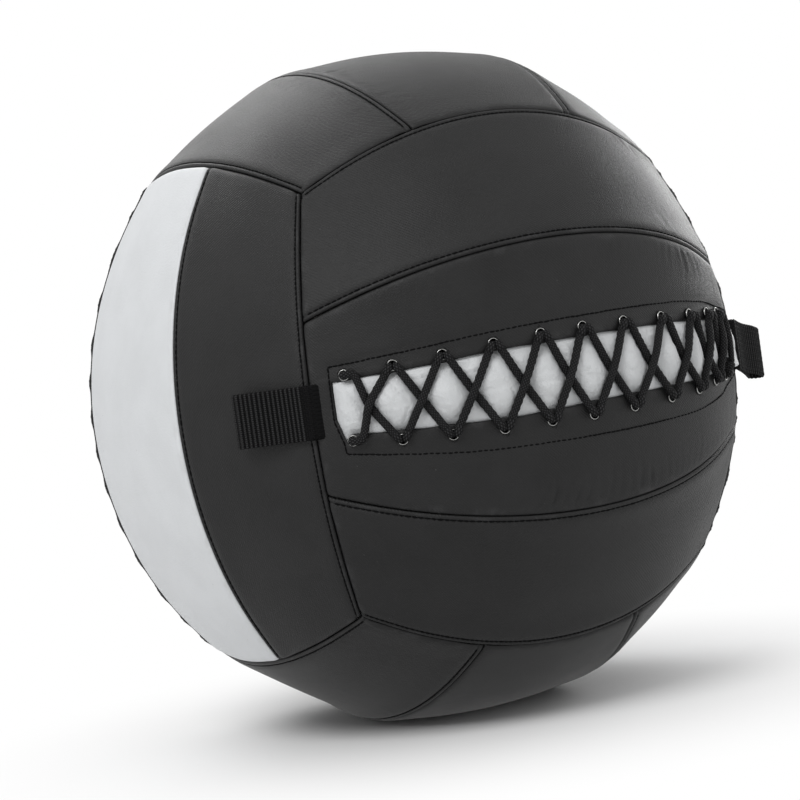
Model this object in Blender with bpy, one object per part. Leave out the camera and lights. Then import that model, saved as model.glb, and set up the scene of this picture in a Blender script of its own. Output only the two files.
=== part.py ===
"""Soft wall ball: a sewn shell of eighteen panels, laced shut in front, round a filled bag.

Metres, +Z up. The front, laced face looks along -Y. The origin is the middle of the flat patch on
which the ball rests, straight below the ball's centre.
"""
import math
from functools import partial

import bmesh
import bpy
import numpy as np
from mathutils import Matrix, Vector
from mathutils.bvhtree import BVHTree

# Sewn shell: half sizes of the surface that the seams lie on, and the sheet it is sewn from
SEAM_RADIUS_X = 0.1735
SEAM_RADIUS_Y = 0.184
SEAM_RADIUS_Z = 0.185
SHELL_THICKNESS = 0.002
FIT_GAP = 0.0003
REST_DEPTH = 0.0035

# Where the seams run: the corners' direction, and angles from the middle of each pair of faces
CORNER_SHARES = (1.03, 1.0, 0.99)
SIDE_SEAM_DEGREES = {"front": 46.8, "left": 44.2, "top": 44.9}
INNER_SEAM_DEGREES = {"front": 21.3, "left": 18.2, "top": 19.2}
FRONT_INNER_SEAM_END_SHARE = 0.38
LEFT_INNER_SEAM_END_SHARE = 0.355
TOP_INNER_SEAM_END_SHARE = 0.415

# Laced slot in the front middle panel: eyelets' places along the strip and across it
SLOT_END_MARGIN = 0.0105
LACING_HALF_WIDTH = 0.0215
EYELET_EDGE_INSET = 0.0042
EYELET_LENGTH_SHARES = (
    0.067, 0.156, 0.246, 0.34, 0.431, 0.517, 0.61, 0.71, 0.802, 0.875, 0.929,
)
UPPER_ROW_SHARES = (0.69, 0.76, 0.84, 0.92, 0.985, 1, 0.98, 0.94, 0.89, 0.85, 0.81)
LOWER_ROW_SHARES = (0.78, 0.9, 0.955, 0.99, 0.985, 1, 0.98, 0.94, 0.885, 0.78, 0.72)

# Eyelets
EYELET_BORE = 0.0048
EYELET_WALL = 0.0003
EYELET_FLANGE_WIDTH = 0.0005
EYELET_FLANGE_HEIGHT = 0.0005
EYELET_LIP_WIDTH = 0.0006
EYELET_LIP_HEIGHT = 0.0004
EYELET_SEGMENTS = 10

# Tongue behind the slot
TONGUE_THICKNESS = 0.001
TONGUE_HEM_WIDTH = 0.003
TONGUE_END_MARGIN = 0.0025

# Lace: squeezed where it passes an eyelet, twice, and in its knot
LACE_DIAMETER = 0.004
LACE_EYELET_DIAMETER = 0.0017
LACE_KNOT_DIAMETER = 0.0026
LACE_CLEARANCE = 0.0004
LACE_PASS_SPACING = 0.0024
LACE_LANE_SPACING = 0.0051
LACE_BEND = 0.0022
LACE_CROSSING_GAP = 0.0009
LACE_EDGE_REACH = 0.0075
LACE_KNOT_TURNS = 1.25
LACE_KNOT_GAP = 0.0011
LACE_KNOT_OFFSET = 0.005
LACE_BULGE = 0.0085
LACE_TAIL = 0.0075
LACE_BEND_DEGREES = (35.0, 90.0)
LACE_BEND_SHARES = (0.48, 0.8)
LACE_BACK_BEND_SHARES = (0.45, 0.58)
BACK_LANE_SHARES = (0.75, 0.4)
BACK_CROSSING_SHARE = 0.62

# Webbing loops, sewn into the two upright seams in front
WEBBING_THICKNESS = 0.0013
LOOP_WIDTH = 0.0265
LOOP_LENGTH = 0.040
LOOP_SEWN_LENGTH = 0.011
LOOP_EYE_GAP = 0.0066
LOOP_LAYER_GAP = 0.0004
LOOP_LIFT = 0.0003
LOOP_DROP = 0.0009
LOOP_OPENING_SHARES = (0, 0.3, 0.65, 1)
LOOP_ROOT_ROUND_SHARE = 0.9
RIGHT_LOOP_HANG_SHARE = 0.2
RIGHT_LOOP_LIFT_DEGREES = 11.0

# Inside: liner bag, fibre fill and the dense core
LINER_THICKNESS = 0.002
LINER_CLEARANCE = 0.0005
LINER_MOUTH_DEGREES = 18.0
LACING_ROOM = 0.0118
LACING_ROOM_SLOPE = 0.040
LACING_ROOM_MARGIN = 0.009
CORE_RADIUS = 0.062
CORE_HEIGHT_SHARE = 0.8

# Mesh counts and steps
PANEL_COLUMNS = 12
PANEL_ROWS = 4
REST_PANEL_COLUMNS = 16
REST_PANEL_ROWS = 6
TONGUE_COLUMNS = 18
LINER_COLUMNS = 20
LINER_ROWS = 8
LACE_STEPS = 1
LACE_MEASURE_STEPS = 8
LOOP_FOLD_STEPS = 8
KNOT_STEPS_PER_TURN = 8
LENGTH_SAMPLES = 65
SURFACE_STEP_SHARE = 0.0001
MERGE_SHARE = 0.1
MM_PER_METRE = 1000

# Normal, direction of the strips, and direction across them, for each face
FACES = {
    "front": ((0, -1, 0), (1, 0, 0), (0, 0, 1)),
    "back": ((0, 1, 0), (1, 0, 0), (0, 0, 1)),
    "left": ((-1, 0, 0), (0, 0, 1), (0, 1, 0)),
    "right": ((1, 0, 0), (0, 0, 1), (0, 1, 0)),
    "top": ((0, 0, 1), (0, 1, 0), (1, 0, 0)),
    "bottom": ((0, 0, -1), (0, 1, 0), (1, 0, 0)),
}
FAMILY = {"front": "front", "back": "front", "left": "left", "right": "left",
          "top": "top", "bottom": "top"}
STRIP_NAMES = {
    "front": ("front_lower_panel", "front_laced_panel", "front_upper_panel"),
    "back": ("back_lower_panel", "back_middle_panel", "back_upper_panel"),
    "left": ("left_front_panel", "left_middle_panel", "left_back_panel"),
    "right": ("right_front_panel", "right_middle_panel", "right_back_panel"),
    "top": ("top_left_panel", "top_middle_panel", "top_right_panel"),
    "bottom": ("bottom_left_panel", "bottom_middle_panel", "bottom_right_panel"),
}
SILVER_PANELS = ("left_middle_panel", "right_middle_panel")
INNER_SEAM_END_SHARES = {
    "front": FRONT_INNER_SEAM_END_SHARE,
    "left": LEFT_INNER_SEAM_END_SHARE,
    "top": TOP_INNER_SEAM_END_SHARE,
}
RADII = np.array((SEAM_RADIUS_X, SEAM_RADIUS_Y, SEAM_RADIUS_Z))


def unit(vector):
    """Return the vector at length one."""
    vector = np.asarray(vector, float)
    return vector / np.linalg.norm(vector, axis=-1, keepdims=True)


def arc(start, middle, end, shares):
    """Return points at the given shares along the circle arc through three points."""
    normal = unit(np.cross(middle - start, end - middle))
    rows = np.array((middle - start, end - middle, normal))
    sides = np.array((
        np.dot(middle - start, (middle + start) / 2),
        np.dot(end - middle, (end + middle) / 2),
        np.dot(normal, start),
    ))
    centre = np.linalg.solve(rows, sides)
    radius = np.linalg.norm(start - centre)
    first = (start - centre) / radius
    second = np.cross(normal, first)
    full = math.atan2(np.dot(end - centre, second), np.dot(end - centre, first)) % (2 * math.pi)
    angles = np.asarray(shares, float)[..., None] * full
    return centre + radius * (np.cos(angles) * first + np.sin(angles) * second)


def face_axes(face):
    """Return a face's normal, its strips' direction and the direction across them."""
    return tuple(np.array(axis, float) for axis in FACES[face])


def side_seam(face, sign, shares):
    """Points on the long outer seam of a face, on the unit seam sphere."""
    normal, along, across = face_axes(face)
    angle = math.radians(SIDE_SEAM_DEGREES[FAMILY[face]])
    start = unit((normal - along + sign * across) * CORNER_SHARES)
    end = unit((normal + along + sign * across) * CORNER_SHARES)
    middle = math.cos(angle) * normal + sign * math.sin(angle) * across
    return arc(start, middle, end, shares)


def end_seam(face, end, shares):
    """Points on a face's end, which is its neighbour's side seam; shares run -1 to 1 across."""
    normal, along, across = face_axes(face)
    for other in FACES:
        other_normal, other_along, other_across = face_axes(other)
        if np.allclose(other_normal, end * along):
            sign = 1 if np.dot(other_across, normal) > 0 else -1
            way = 1 if np.dot(other_along, across) > 0 else -1
            return side_seam(other, sign, (1 + way * np.asarray(shares, float)) / 2)
    raise ValueError(face)


def inner_seam(face, sign, shares):
    """Points on the seam between two strips of a face, on the unit seam sphere."""
    normal, _, across = face_axes(face)
    end_share = sign * INNER_SEAM_END_SHARES[FAMILY[face]]
    angle = math.radians(INNER_SEAM_DEGREES[FAMILY[face]])
    start = end_seam(face, -1, end_share)
    end = end_seam(face, 1, end_share)
    middle = math.cos(angle) * normal + sign * math.sin(angle) * across
    return arc(start, middle, end, shares)


def strip_edges(face, strip):
    """Return the two long edges of a strip as functions, and its range across the face's ends."""
    share = INNER_SEAM_END_SHARES[FAMILY[face]]
    limits = ((-1, -share), (-share, share), (share, 1))[strip]
    low = side_seam if strip == 0 else inner_seam
    high = side_seam if strip == 2 else inner_seam
    low_sign = -1 if strip < 2 else 1
    high_sign = 1 if strip > 0 else -1
    return (
        lambda shares: low(face, low_sign, shares),
        lambda shares: high(face, high_sign, shares),
        limits,
    )


def sewn_surface(face, strip, u, v):
    """Outer surface of a strip: a sheet stretched between its four sewn edges.

    u runs along the strip and v across it, both 0 to 1, as arrays of one shape.
    """
    u = np.asarray(u, float)
    v = np.asarray(v, float)
    low, high, limits = strip_edges(face, strip)
    across = limits[0] + (limits[1] - limits[0]) * v
    start = end_seam(face, -1, across)
    end = end_seam(face, 1, across)
    corners = [edge(np.array(float(side))) for edge in (low, high) for side in (0, 1)]
    u = u[..., None]
    v = v[..., None]
    between = (1 - v) * low(u[..., 0]) + v * high(u[..., 0]) + (1 - u) * start + u * end
    twice = (
        (1 - u) * (1 - v) * corners[0] + u * (1 - v) * corners[1]
        + (1 - u) * v * corners[2] + u * v * corners[3]
    )
    return (between - twice) * RADII


CENTRE_HEIGHT = abs(float(sewn_surface("bottom", 1, 0.5, 0.5)[2])) - REST_DEPTH


def outer_surface(face, strip, u, v):
    """Outer surface from the ball's centre, flattened where the ball rests."""
    points = sewn_surface(face, strip, u, v)
    points[..., 2] = np.maximum(points[..., 2], -CENTRE_HEIGHT)
    return points


def strip_length(face, strip):
    """Length of a strip along its middle."""
    shares = np.linspace(0, 1, LENGTH_SAMPLES)
    points = sewn_surface(face, strip, shares, np.full_like(shares, 0.5))
    return float(np.linalg.norm(np.diff(points, axis=0), axis=1).sum())


def strip_width(face, strip, u):
    """Width of a strip, seam to seam, at the share u of its length."""
    low, high, _ = strip_edges(face, strip)
    return np.linalg.norm((high(np.asarray(u, float)) - low(np.asarray(u, float))) * RADII, axis=-1)


LACED_LENGTH = strip_length("front", 1)
LACE_RADIUS = LACE_DIAMETER / 2
EYELET_LENGTHS = [LACED_LENGTH * share for share in EYELET_LENGTH_SHARES]


def row_place(sign, along):
    """Length across the laced strip, from its middle, of the upper or lower row of eyelets."""
    shares = UPPER_ROW_SHARES if sign > 0 else LOWER_ROW_SHARES
    return sign * LACING_HALF_WIDTH * float(np.interp(along, EYELET_LENGTHS, shares))


def slot_edge(sign, along):
    """Length across the laced strip, from its middle, of the slot's upper or lower edge."""
    return row_place(sign, along) - sign * EYELET_EDGE_INSET


def laced_point(along, across, height):
    """Point of the laced strip, from lengths along and across it and a height over its face."""
    u = along / LACED_LENGTH
    v = 0.5 + across / float(strip_width("front", 1, u))
    step = SURFACE_STEP_SHARE
    here = sewn_surface("front", 1, u, v)
    to_u = sewn_surface("front", 1, u + step, v) - here
    to_v = sewn_surface("front", 1, u, v + step) - here
    normal = unit(np.cross(to_u, to_v))
    return Vector(here + height * normal), Vector(normal), Vector(unit(to_u))


def laced_frame(along, across):
    """Matrix that puts a piece modelled about +Z on the laced strip, +Z outwards."""
    point, normal, way = laced_point(along, across, 0)
    side = normal.cross(way)
    turn = Matrix((way, side, normal)).transposed().to_4x4()
    return Matrix.Translation(point) @ turn


def eyelet_places():
    """Yield name, length along and length across for every eyelet."""
    for row, sign in (("upper", 1), ("lower", -1)):
        for index, along in enumerate(EYELET_LENGTHS):
            yield f"eyelet_{row}_{index + 1:02d}", along, row_place(sign, along)


def make_material(name, colour, roughness, metallic=0.0):
    """Make a Principled material of one colour."""
    material = bpy.data.materials.new(name)
    material.use_nodes = True
    shader = material.node_tree.nodes["Principled BSDF"]
    shader.inputs["Base Color"].default_value = (*colour, 1)
    shader.inputs["Roughness"].default_value = roughness
    shader.inputs["Metallic"].default_value = metallic
    return material


def make_object(name, mesh, material, smooth_degrees=40):
    """Add a mesh to the scene under its own name, above the floor, shaded smooth."""
    mesh.materials.append(material)
    mesh.shade_smooth()
    mesh.set_sharp_from_angle(angle=math.radians(smooth_degrees))
    obj = bpy.data.objects.new(name, mesh)
    bpy.context.scene.collection.objects.link(obj)
    obj.location = (0, 0, CENTRE_HEIGHT)
    return obj


def mesh_from(bm, name):
    """Turn an edited mesh into mesh data, with its faces pointing out."""
    bmesh.ops.recalc_face_normals(bm, faces=bm.faces)
    mesh = bpy.data.meshes.new(name)
    bm.to_mesh(mesh)
    bm.free()
    return mesh


def thicken(bm, inner_place):
    """Close a sheet into a solid: its copy goes where inner_place puts each vertex."""
    result = bmesh.ops.extrude_face_region(bm, geom=bm.faces[:], use_keep_orig=True)
    for item in result["geom"]:
        if isinstance(item, bmesh.types.BMVert):
            item.co = inner_place(item.co)


def inside_shell(point):
    """Place of the shell's inner face behind a point of its outer face."""
    return point - point.normalized() * SHELL_THICKNESS


def make_panel(face, strip, material):
    """Model one sewn panel of the shell."""
    name = STRIP_NAMES[face][strip]
    rests = name == "bottom_middle_panel"
    columns = REST_PANEL_COLUMNS if rests else PANEL_COLUMNS
    rows = REST_PANEL_ROWS if rests else PANEL_ROWS
    bm = bmesh.new()
    bmesh.ops.create_grid(bm, x_segments=columns, y_segments=rows, size=1)
    trim_u = FIT_GAP / strip_length(face, strip)
    for vertex in bm.verts:
        u = trim_u / 2 + (vertex.co.x + 1) / 2 * (1 - trim_u)
        trim_v = FIT_GAP / float(strip_width(face, strip, u))
        v = trim_v / 2 + (vertex.co.y + 1) / 2 * (1 - trim_v)
        vertex.co = outer_surface(face, strip, u, v)
    thicken(bm, inside_shell)
    return make_object(name, mesh_from(bm, name), material)


def laced_columns():
    """Lengths along the laced strip at which its mesh has a line."""
    middles = [(low + high) / 2 for low, high in zip(EYELET_LENGTHS, EYELET_LENGTHS[1:])]
    edge = FIT_GAP / 2
    ends = [edge, SLOT_END_MARGIN, LACED_LENGTH - SLOT_END_MARGIN, LACED_LENGTH - edge]
    return sorted(ends + middles + EYELET_LENGTHS)


def laced_rows(along, width):
    """Lengths across the laced strip at which its mesh has a line, slot edges among them."""
    edge = (width - FIT_GAP) / 2
    rows = [0]
    for sign in (-1, 1):
        outside = row_place(sign, along) + sign * EYELET_EDGE_INSET
        rows += [slot_edge(sign, along), outside, (outside + sign * edge) / 2, sign * edge]
    return sorted(rows)


def make_laced_panel(material, cutter):
    """Model the front middle panel, with its slot and its eyelet holes."""
    columns = laced_columns()
    rows = len(laced_rows(LACED_LENGTH / 2, LACED_LENGTH / 2))
    bm = bmesh.new()
    grid = []
    for along in columns:
        u = along / LACED_LENGTH
        width = float(strip_width("front", 1, u))
        places = [0.5 + across / width for across in laced_rows(along, width)]
        points = outer_surface("front", 1, np.full(rows, u), np.array(places))
        grid.append([bm.verts.new(point) for point in points])
    slot_rows = (rows // 2 - 1, rows // 2)
    for column in range(len(columns) - 1):
        in_slot = 0 < column < len(columns) - 2
        for row in range(rows - 1):
            if in_slot and row in slot_rows:
                continue
            bm.faces.new((grid[column][row], grid[column + 1][row],
                          grid[column + 1][row + 1], grid[column][row + 1]))
    bmesh.ops.delete(bm, geom=[vert for vert in bm.verts if not vert.link_faces], context="VERTS")
    thicken(bm, inside_shell)
    panel = make_object("front_laced_panel", mesh_from(bm, "front_laced_panel"), material)
    cut_holes(panel, cutter)
    return panel


def cut_holes(sheet, cutter):
    """Cut the eyelets' holes into a sheet."""
    holes = sheet.modifiers.new("eyelet_holes", "BOOLEAN")
    holes.operation = "DIFFERENCE"
    holes.solver = "EXACT"
    holes.object = cutter


def turned(profile, segments, name):
    """Turn a closed profile of (radius, height) points about Z into a mesh."""
    bm = bmesh.new()
    verts = [bm.verts.new((radius, 0, height)) for radius, height in profile]
    edges = [bm.edges.new((verts[index - 1], verts[index])) for index in range(len(verts))]
    bmesh.ops.spin(bm, geom=verts + edges, cent=(0, 0, 0), axis=(0, 0, 1),
                   angle=2 * math.pi, steps=segments, use_merge=True)
    bmesh.ops.remove_doubles(bm, verts=bm.verts, dist=FIT_GAP * MERGE_SHARE)
    return mesh_from(bm, name)


def make_hole_cutter():
    """Model the cutter of the eyelet holes: one plug for each eyelet."""
    radius = EYELET_BORE / 2 + EYELET_WALL + FIT_GAP
    reach = SHELL_THICKNESS * 2
    bm = bmesh.new()
    for _, along, across in eyelet_places():
        bmesh.ops.create_cone(bm, cap_ends=True, segments=EYELET_SEGMENTS, radius1=radius,
                              radius2=radius, depth=2 * reach, matrix=laced_frame(along, across))
    cutter = bpy.data.objects.new("eyelet_hole_cutter", mesh_from(bm, "eyelet_hole_cutter"))
    bpy.context.scene.collection.objects.link(cutter)
    cutter.location = (0, 0, CENTRE_HEIGHT)
    cutter.hide_render = True
    cutter.display_type = "WIRE"
    return cutter


EYELET_TOP = FIT_GAP + EYELET_FLANGE_HEIGHT
TONGUE_TOP = -(SHELL_THICKNESS + FIT_GAP)
EYELET_UNDERSIDE = TONGUE_TOP - TONGUE_THICKNESS - FIT_GAP - EYELET_LIP_HEIGHT


def make_eyelets(material):
    """Model the eyelets: a flange over the panel, a barrel and a lip behind the tongue."""
    bore = EYELET_BORE / 2
    barrel = bore + EYELET_WALL
    flange = barrel + EYELET_FLANGE_WIDTH
    lip = barrel + EYELET_LIP_WIDTH
    under = EYELET_UNDERSIDE + EYELET_LIP_HEIGHT
    profile = (
        (bore, EYELET_TOP), (flange, EYELET_TOP), (flange, FIT_GAP), (barrel, FIT_GAP),
        (barrel, under), (lip, under), (lip, EYELET_UNDERSIDE), (bore, EYELET_UNDERSIDE),
    )
    mesh = turned(profile, EYELET_SEGMENTS, "eyelet")
    for name, along, across in eyelet_places():
        own = mesh.copy()
        own.transform(laced_frame(along, across))
        make_object(name, own, material)


LACE_TOP = EYELET_TOP + LACE_CLEARANCE / 2 + LACE_RADIUS
LACE_LOW = TONGUE_TOP + FIT_GAP + LACE_RADIUS
LACE_HIGH = LACE_LOW + LACE_DIAMETER + LACE_CROSSING_GAP
LACE_UNDER = EYELET_UNDERSIDE - LACE_CLEARANCE / 2 - LACE_RADIUS
LACE_DEEP = LACE_UNDER - LACE_DIAMETER - LACE_CROSSING_GAP
KNOT_RADIUS = LACE_KNOT_DIAMETER + LACE_KNOT_GAP
KNOT_HEIGHT = FIT_GAP + LACE_KNOT_DIAMETER / 2 + KNOT_RADIUS


def eyelet_pass(index, sign, turn):
    """Place of one of the lace's two passes through an eyelet: (along, across)."""
    along = EYELET_LENGTHS[index]
    return along + turn * LACE_PASS_SPACING / 2, row_place(sign, along)


def through(place):
    """Route points of a pass through an eyelet, from over the panel to behind the tongue."""
    levels = (EYELET_TOP + LACE_CLEARANCE / 2, EYELET_UNDERSIDE - LACE_CLEARANCE / 2)
    return [(*place, level, LACE_EYELET_DIAMETER / 2) for level in levels]


def bend(place, way, high):
    """Route points round the quarter bend between an eyelet and a run along the panel."""
    level = EYELET_TOP + LACE_CLEARANCE / 2 if high else EYELET_UNDERSIDE - LACE_CLEARANCE / 2
    points = []
    shares = LACE_BEND_SHARES if high else LACE_BACK_BEND_SHARES
    for degrees, share in zip(LACE_BEND_DEGREES, shares):
        angle = math.radians(degrees)
        reach = LACE_BEND * (1 - math.cos(angle))
        lift = LACE_BEND * math.sin(angle)
        points.append((place[0] + way[0] * reach, place[1] + way[1] * reach,
                       level + lift if high else level - lift, LACE_RADIUS * share))
    return points


def meeting_share(start, end, other_start, other_end):
    """Share of the way from start to end at which it crosses the other line."""
    ahead = np.subtract(end, start)
    other = np.subtract(other_end, other_start)
    matrix = np.array((ahead, -other)).T
    return float(np.linalg.solve(matrix, np.subtract(other_start, start))[0])


def front_strand(index, rising):
    """Route points of one crossing strand in front, from its left eyelet to its right one.

    A rising strand climbs to the right and lies over the falling one that it crosses.
    """
    sign = -1 if rising else 1
    start = eyelet_pass(index, sign, 1)
    end = eyelet_pass(index + 1, -sign, -1)
    share = meeting_share(start, end, eyelet_pass(index, -sign, 1),
                          eyelet_pass(index + 1, sign, -1))
    length = math.dist(start, end)
    way = np.subtract(end, start) / length
    stops = [(LACE_EDGE_REACH, LACE_TOP), (share * length, LACE_HIGH if rising else LACE_LOW),
             (length - LACE_EDGE_REACH, LACE_TOP)]
    points = bend(start, way, True)
    points += [(*(np.array(start) + way * reach), height, LACE_RADIUS)
               for reach, height in stops]
    return points + bend(end, -way, True)[::-1]


def back_strand(index, turn):
    """Route points of the run behind the tongue, from a pair's upper eyelet to its lower one.

    turn is the side on which its upper pass lies; the run whose pass lies left goes deeper.
    """
    along = EYELET_LENGTHS[index]
    upper = eyelet_pass(index, 1, turn)
    lower = eyelet_pass(index, -1, -turn)
    lane = turn * LACE_LANE_SPACING / 2
    if turn == 0:
        stops = [(0, BACK_CROSSING_SHARE, LACE_UNDER), (0, -BACK_CROSSING_SHARE, LACE_UNDER)]
    elif turn > 0:
        stops = [(lane, BACK_CROSSING_SHARE, LACE_UNDER), (0, 0, LACE_UNDER),
                 (-lane, -BACK_CROSSING_SHARE, LACE_UNDER)]
    else:
        outer, inner = BACK_LANE_SHARES
        stops = [(lane, outer, LACE_UNDER), (lane * inner, inner, LACE_DEEP), (0, 0, LACE_DEEP),
                 (-lane * inner, -inner, LACE_DEEP), (-lane, -outer, LACE_UNDER)]
    points = []
    for offset, share, height in stops:
        across = share * abs(upper[1] if share > 0 else lower[1])
        points.append((along + offset, across, height, LACE_RADIUS))
    first = unit(np.subtract(points[0][:2], upper))
    last = unit(np.subtract(points[-1][:2], lower))
    return bend(upper, first, False) + points + bend(lower, last, False)[::-1]


def lace_route():
    """Route of the whole lace: (along, across, height, radius) over the laced strip.

    One end climbs from the knot to the last upper eyelet. The falling strands run from there to
    the left end, each joined to the next behind the tongue, and the rising ones run back.
    """
    last = len(EYELET_LENGTHS) - 1
    route = []
    for index in range(last, 0, -1):
        upper = eyelet_pass(index, 1, 1)
        lower = eyelet_pass(index, -1, -1)
        route += through(upper) + back_strand(index, 1) + through(lower)[::-1]
        route += front_strand(index - 1, False)[::-1]
    route += through(eyelet_pass(0, 1, 1)) + back_strand(0, 0)
    route += through(eyelet_pass(0, -1, 1))[::-1]
    for index in range(last):
        route += front_strand(index, True)
        upper = eyelet_pass(index + 1, 1, -1)
        lower = eyelet_pass(index + 1, -1, 1)
        route += through(upper) + back_strand(index + 1, -1) + through(lower)[::-1]
    return knot() + route + stub()


def knot_place(share):
    """Place along and across of a point of the lace's stub, at a share of its tail."""
    start = eyelet_pass(len(EYELET_LENGTHS) - 1, -1, 1)
    return start[0] + LACE_KNOT_OFFSET, start[1] + LACE_BEND + LACE_TAIL * share


def stub():
    """Route points of the end that stands straight inside the knot."""
    start = eyelet_pass(len(EYELET_LENGTHS) - 1, -1, 1)
    way = unit(np.subtract(knot_place(0), start))
    points = bend(start, way, True)[:1]
    points += [(*knot_place(share), KNOT_HEIGHT, LACE_KNOT_DIAMETER / 2) for share in (0, 1)]
    return points


def knot():
    """Route points of the other end: it winds round the stub and climbs to its eyelet."""
    pitch = KNOT_RADIUS + LACE_KNOT_GAP
    steps = int(LACE_KNOT_TURNS * KNOT_STEPS_PER_TURN)
    along, low = knot_place(0)
    low += LACE_KNOT_DIAMETER
    points = []
    for index in range(steps + 1):
        turns = index / KNOT_STEPS_PER_TURN
        angle = math.pi / 2 + 2 * math.pi * (turns - LACE_KNOT_TURNS)
        points.append((along + KNOT_RADIUS * math.cos(angle), low + pitch * turns,
                       KNOT_HEIGHT + KNOT_RADIUS * math.sin(angle), LACE_KNOT_DIAMETER / 2))
    end = eyelet_pass(len(EYELET_LENGTHS) - 1, 1, 1)
    bulge = (end[0] + LACE_BULGE, (low + end[1]) / 2)
    way = unit(np.subtract(bulge, end))
    points.append((*bulge, LACE_TOP + LACE_RADIUS, LACE_RADIUS))
    return points + bend(end, way, True)[::-1]


def smooth_route(points, steps):
    """Points of a smooth curve through the route's own points."""
    route = [points[0], *points, points[-1]]
    result = []
    for before, start, end, after in zip(route, route[1:], route[2:], route[3:]):
        for step in range(steps):
            share = step / steps
            result.append(
                0.5 * (2 * start + (end - before) * share
                       + (2 * before - 5 * start + 4 * end - after) * share ** 2
                       + (3 * start - before - 3 * end + after) * share ** 3)
            )
    result.append(points[-1])
    return result


def least_gap(points):
    """Least gap between stretches of a tube that aren't neighbours along it."""
    places = np.array([point[:3] for point in points])
    radii = np.array([point[3] for point in points])
    lengths = np.concatenate(([0], np.cumsum(np.linalg.norm(np.diff(places, axis=0), axis=1))))
    least = math.inf
    for index, place in enumerate(places):
        far = lengths > lengths[index] + math.pi * LACE_DIAMETER / 2
        if far.any():
            gaps = np.linalg.norm(places[far] - place, axis=1) - radii[far] - radii[index]
            least = min(least, float(gaps.min()))
    return least


def make_lace(material):
    """Model the lace as one tube along its route through the eyelets."""
    route = [np.array((*laced_point(*place[:3])[0], place[3])) for place in lace_route()]
    points = smooth_route(route, LACE_STEPS)
    fine = smooth_route(route, LACE_MEASURE_STEPS)
    length = sum(math.dist(start[:3], end[:3]) for start, end in zip(fine, fine[1:]))
    print(f"least gap of the lace to itself: {least_gap(fine) * MM_PER_METRE:.2f} mm")
    print(f"length of the lace: {length * MM_PER_METRE:.0f} mm")
    curve = bpy.data.curves.new("lace", "CURVE")
    curve.dimensions = "3D"
    curve.bevel_depth = 1
    curve.bevel_resolution = 1
    curve.use_fill_caps = True
    curve.materials.append(material)
    spline = curve.splines.new("POLY")
    spline.points.add(len(points) - 1)
    for point, place in zip(spline.points, points):
        point.co = (*place[:3], 1)
        point.radius = place[3]
    spline.use_smooth = True
    obj = bpy.data.objects.new("lace", curve)
    bpy.context.scene.collection.objects.link(obj)
    obj.location = (0, 0, CENTRE_HEIGHT)
    return obj


def tongue_rows(along):
    """Lengths across the tongue at which its mesh has a line, hem to hem."""
    rows = [0]
    for sign in (-1, 1):
        row = row_place(sign, along)
        rows += [row / 2, row, row + sign * (EYELET_EDGE_INSET + TONGUE_HEM_WIDTH)]
    return sorted(rows)


def behind_tongue(point):
    """Place of the tongue's inner face behind a point of its outer face."""
    return point - point.normalized() * TONGUE_THICKNESS


def make_tongue(material, cutter):
    """Model the tongue: a sheet sewn behind the slot, which the eyelets pierce too."""
    length = LACED_LENGTH - 2 * TONGUE_END_MARGIN
    bm = bmesh.new()
    grid = []
    for column in range(TONGUE_COLUMNS + 1):
        along = TONGUE_END_MARGIN + length * column / TONGUE_COLUMNS
        grid.append([bm.verts.new(laced_point(along, across, TONGUE_TOP)[0])
                     for across in tongue_rows(along)])
    for low, high in zip(grid, grid[1:]):
        for row in range(len(low) - 1):
            bm.faces.new((low[row], high[row], high[row + 1], low[row + 1]))
    thicken(bm, behind_tongue)
    tongue = make_object("lacing_tongue", mesh_from(bm, "lacing_tongue"), material)
    cut_holes(tongue, cutter)
    return tongue


def loop_root(side):
    """Axis point of a webbing loop: just outside the ridge of its upright seam."""
    sign = 1 if side == "right" else -1
    ridge = outer_surface(side, 0, 0.5, 0)
    half = WEBBING_THICKNESS + LOOP_LAYER_GAP / 2
    out = unit(np.array((sign, -1, 0)))
    return ridge + out * (half + FIT_GAP)


def loop_side_point(side, distance, height):
    """Point over the side panel beside a loop, at a distance from the seam, in plan."""
    v = distance / float(strip_width(side, 0, 0.5))
    here = outer_surface(side, 0, 0.5, v)
    ahead = outer_surface(side, 0, 0.5, v + SURFACE_STEP_SHARE)
    way = unit((ahead - here)[:2])
    sign = 1 if side == "right" else -1
    out = np.array((way[1], -way[0])) * sign
    return here[:2] + out * height


def loop_outlines(side):
    """Outer outline of a loop in plan and the outline of its eye, with as many points each."""
    half = WEBBING_THICKNESS + LOOP_LAYER_GAP / 2
    base = LOOP_LIFT + FIT_GAP
    fold = LOOP_EYE_GAP / 2
    reach = LOOP_LENGTH - WEBBING_THICKNESS - fold
    inner = []
    outer = []
    middle = base + half
    for share in LOOP_OPENING_SHARES:
        distance = LOOP_SEWN_LENGTH + (reach - LOOP_SEWN_LENGTH) * share
        ease = share * share * (3 - 2 * share)
        gap = LOOP_LAYER_GAP + (LOOP_EYE_GAP - LOOP_LAYER_GAP) * ease
        start = middle - LOOP_LAYER_GAP / 2
        low = start + (base + WEBBING_THICKNESS - start) * ease
        inner.append((distance, low))
        outer.append((distance, low - WEBBING_THICKNESS))
        inner.insert(0, (distance, low + gap))
        outer.insert(0, (distance, low + gap + WEBBING_THICKNESS))
    centre = base + WEBBING_THICKNESS + fold
    turn_inner = []
    turn_outer = []
    for index in range(1, LOOP_FOLD_STEPS):
        angle = math.pi / 2 - math.pi * index / LOOP_FOLD_STEPS
        for radius, turn in ((fold, turn_inner), (fold + WEBBING_THICKNESS, turn_outer)):
            turn.append((reach + radius * math.cos(angle), centre + radius * math.sin(angle)))
    count = len(LOOP_OPENING_SHARES)
    eye = inner[:count][::-1] + turn_inner + inner[count:][::-1]
    rim = outer[:count][::-1] + turn_outer + outer[count:][::-1]
    return eye, rim, half, middle


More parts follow.
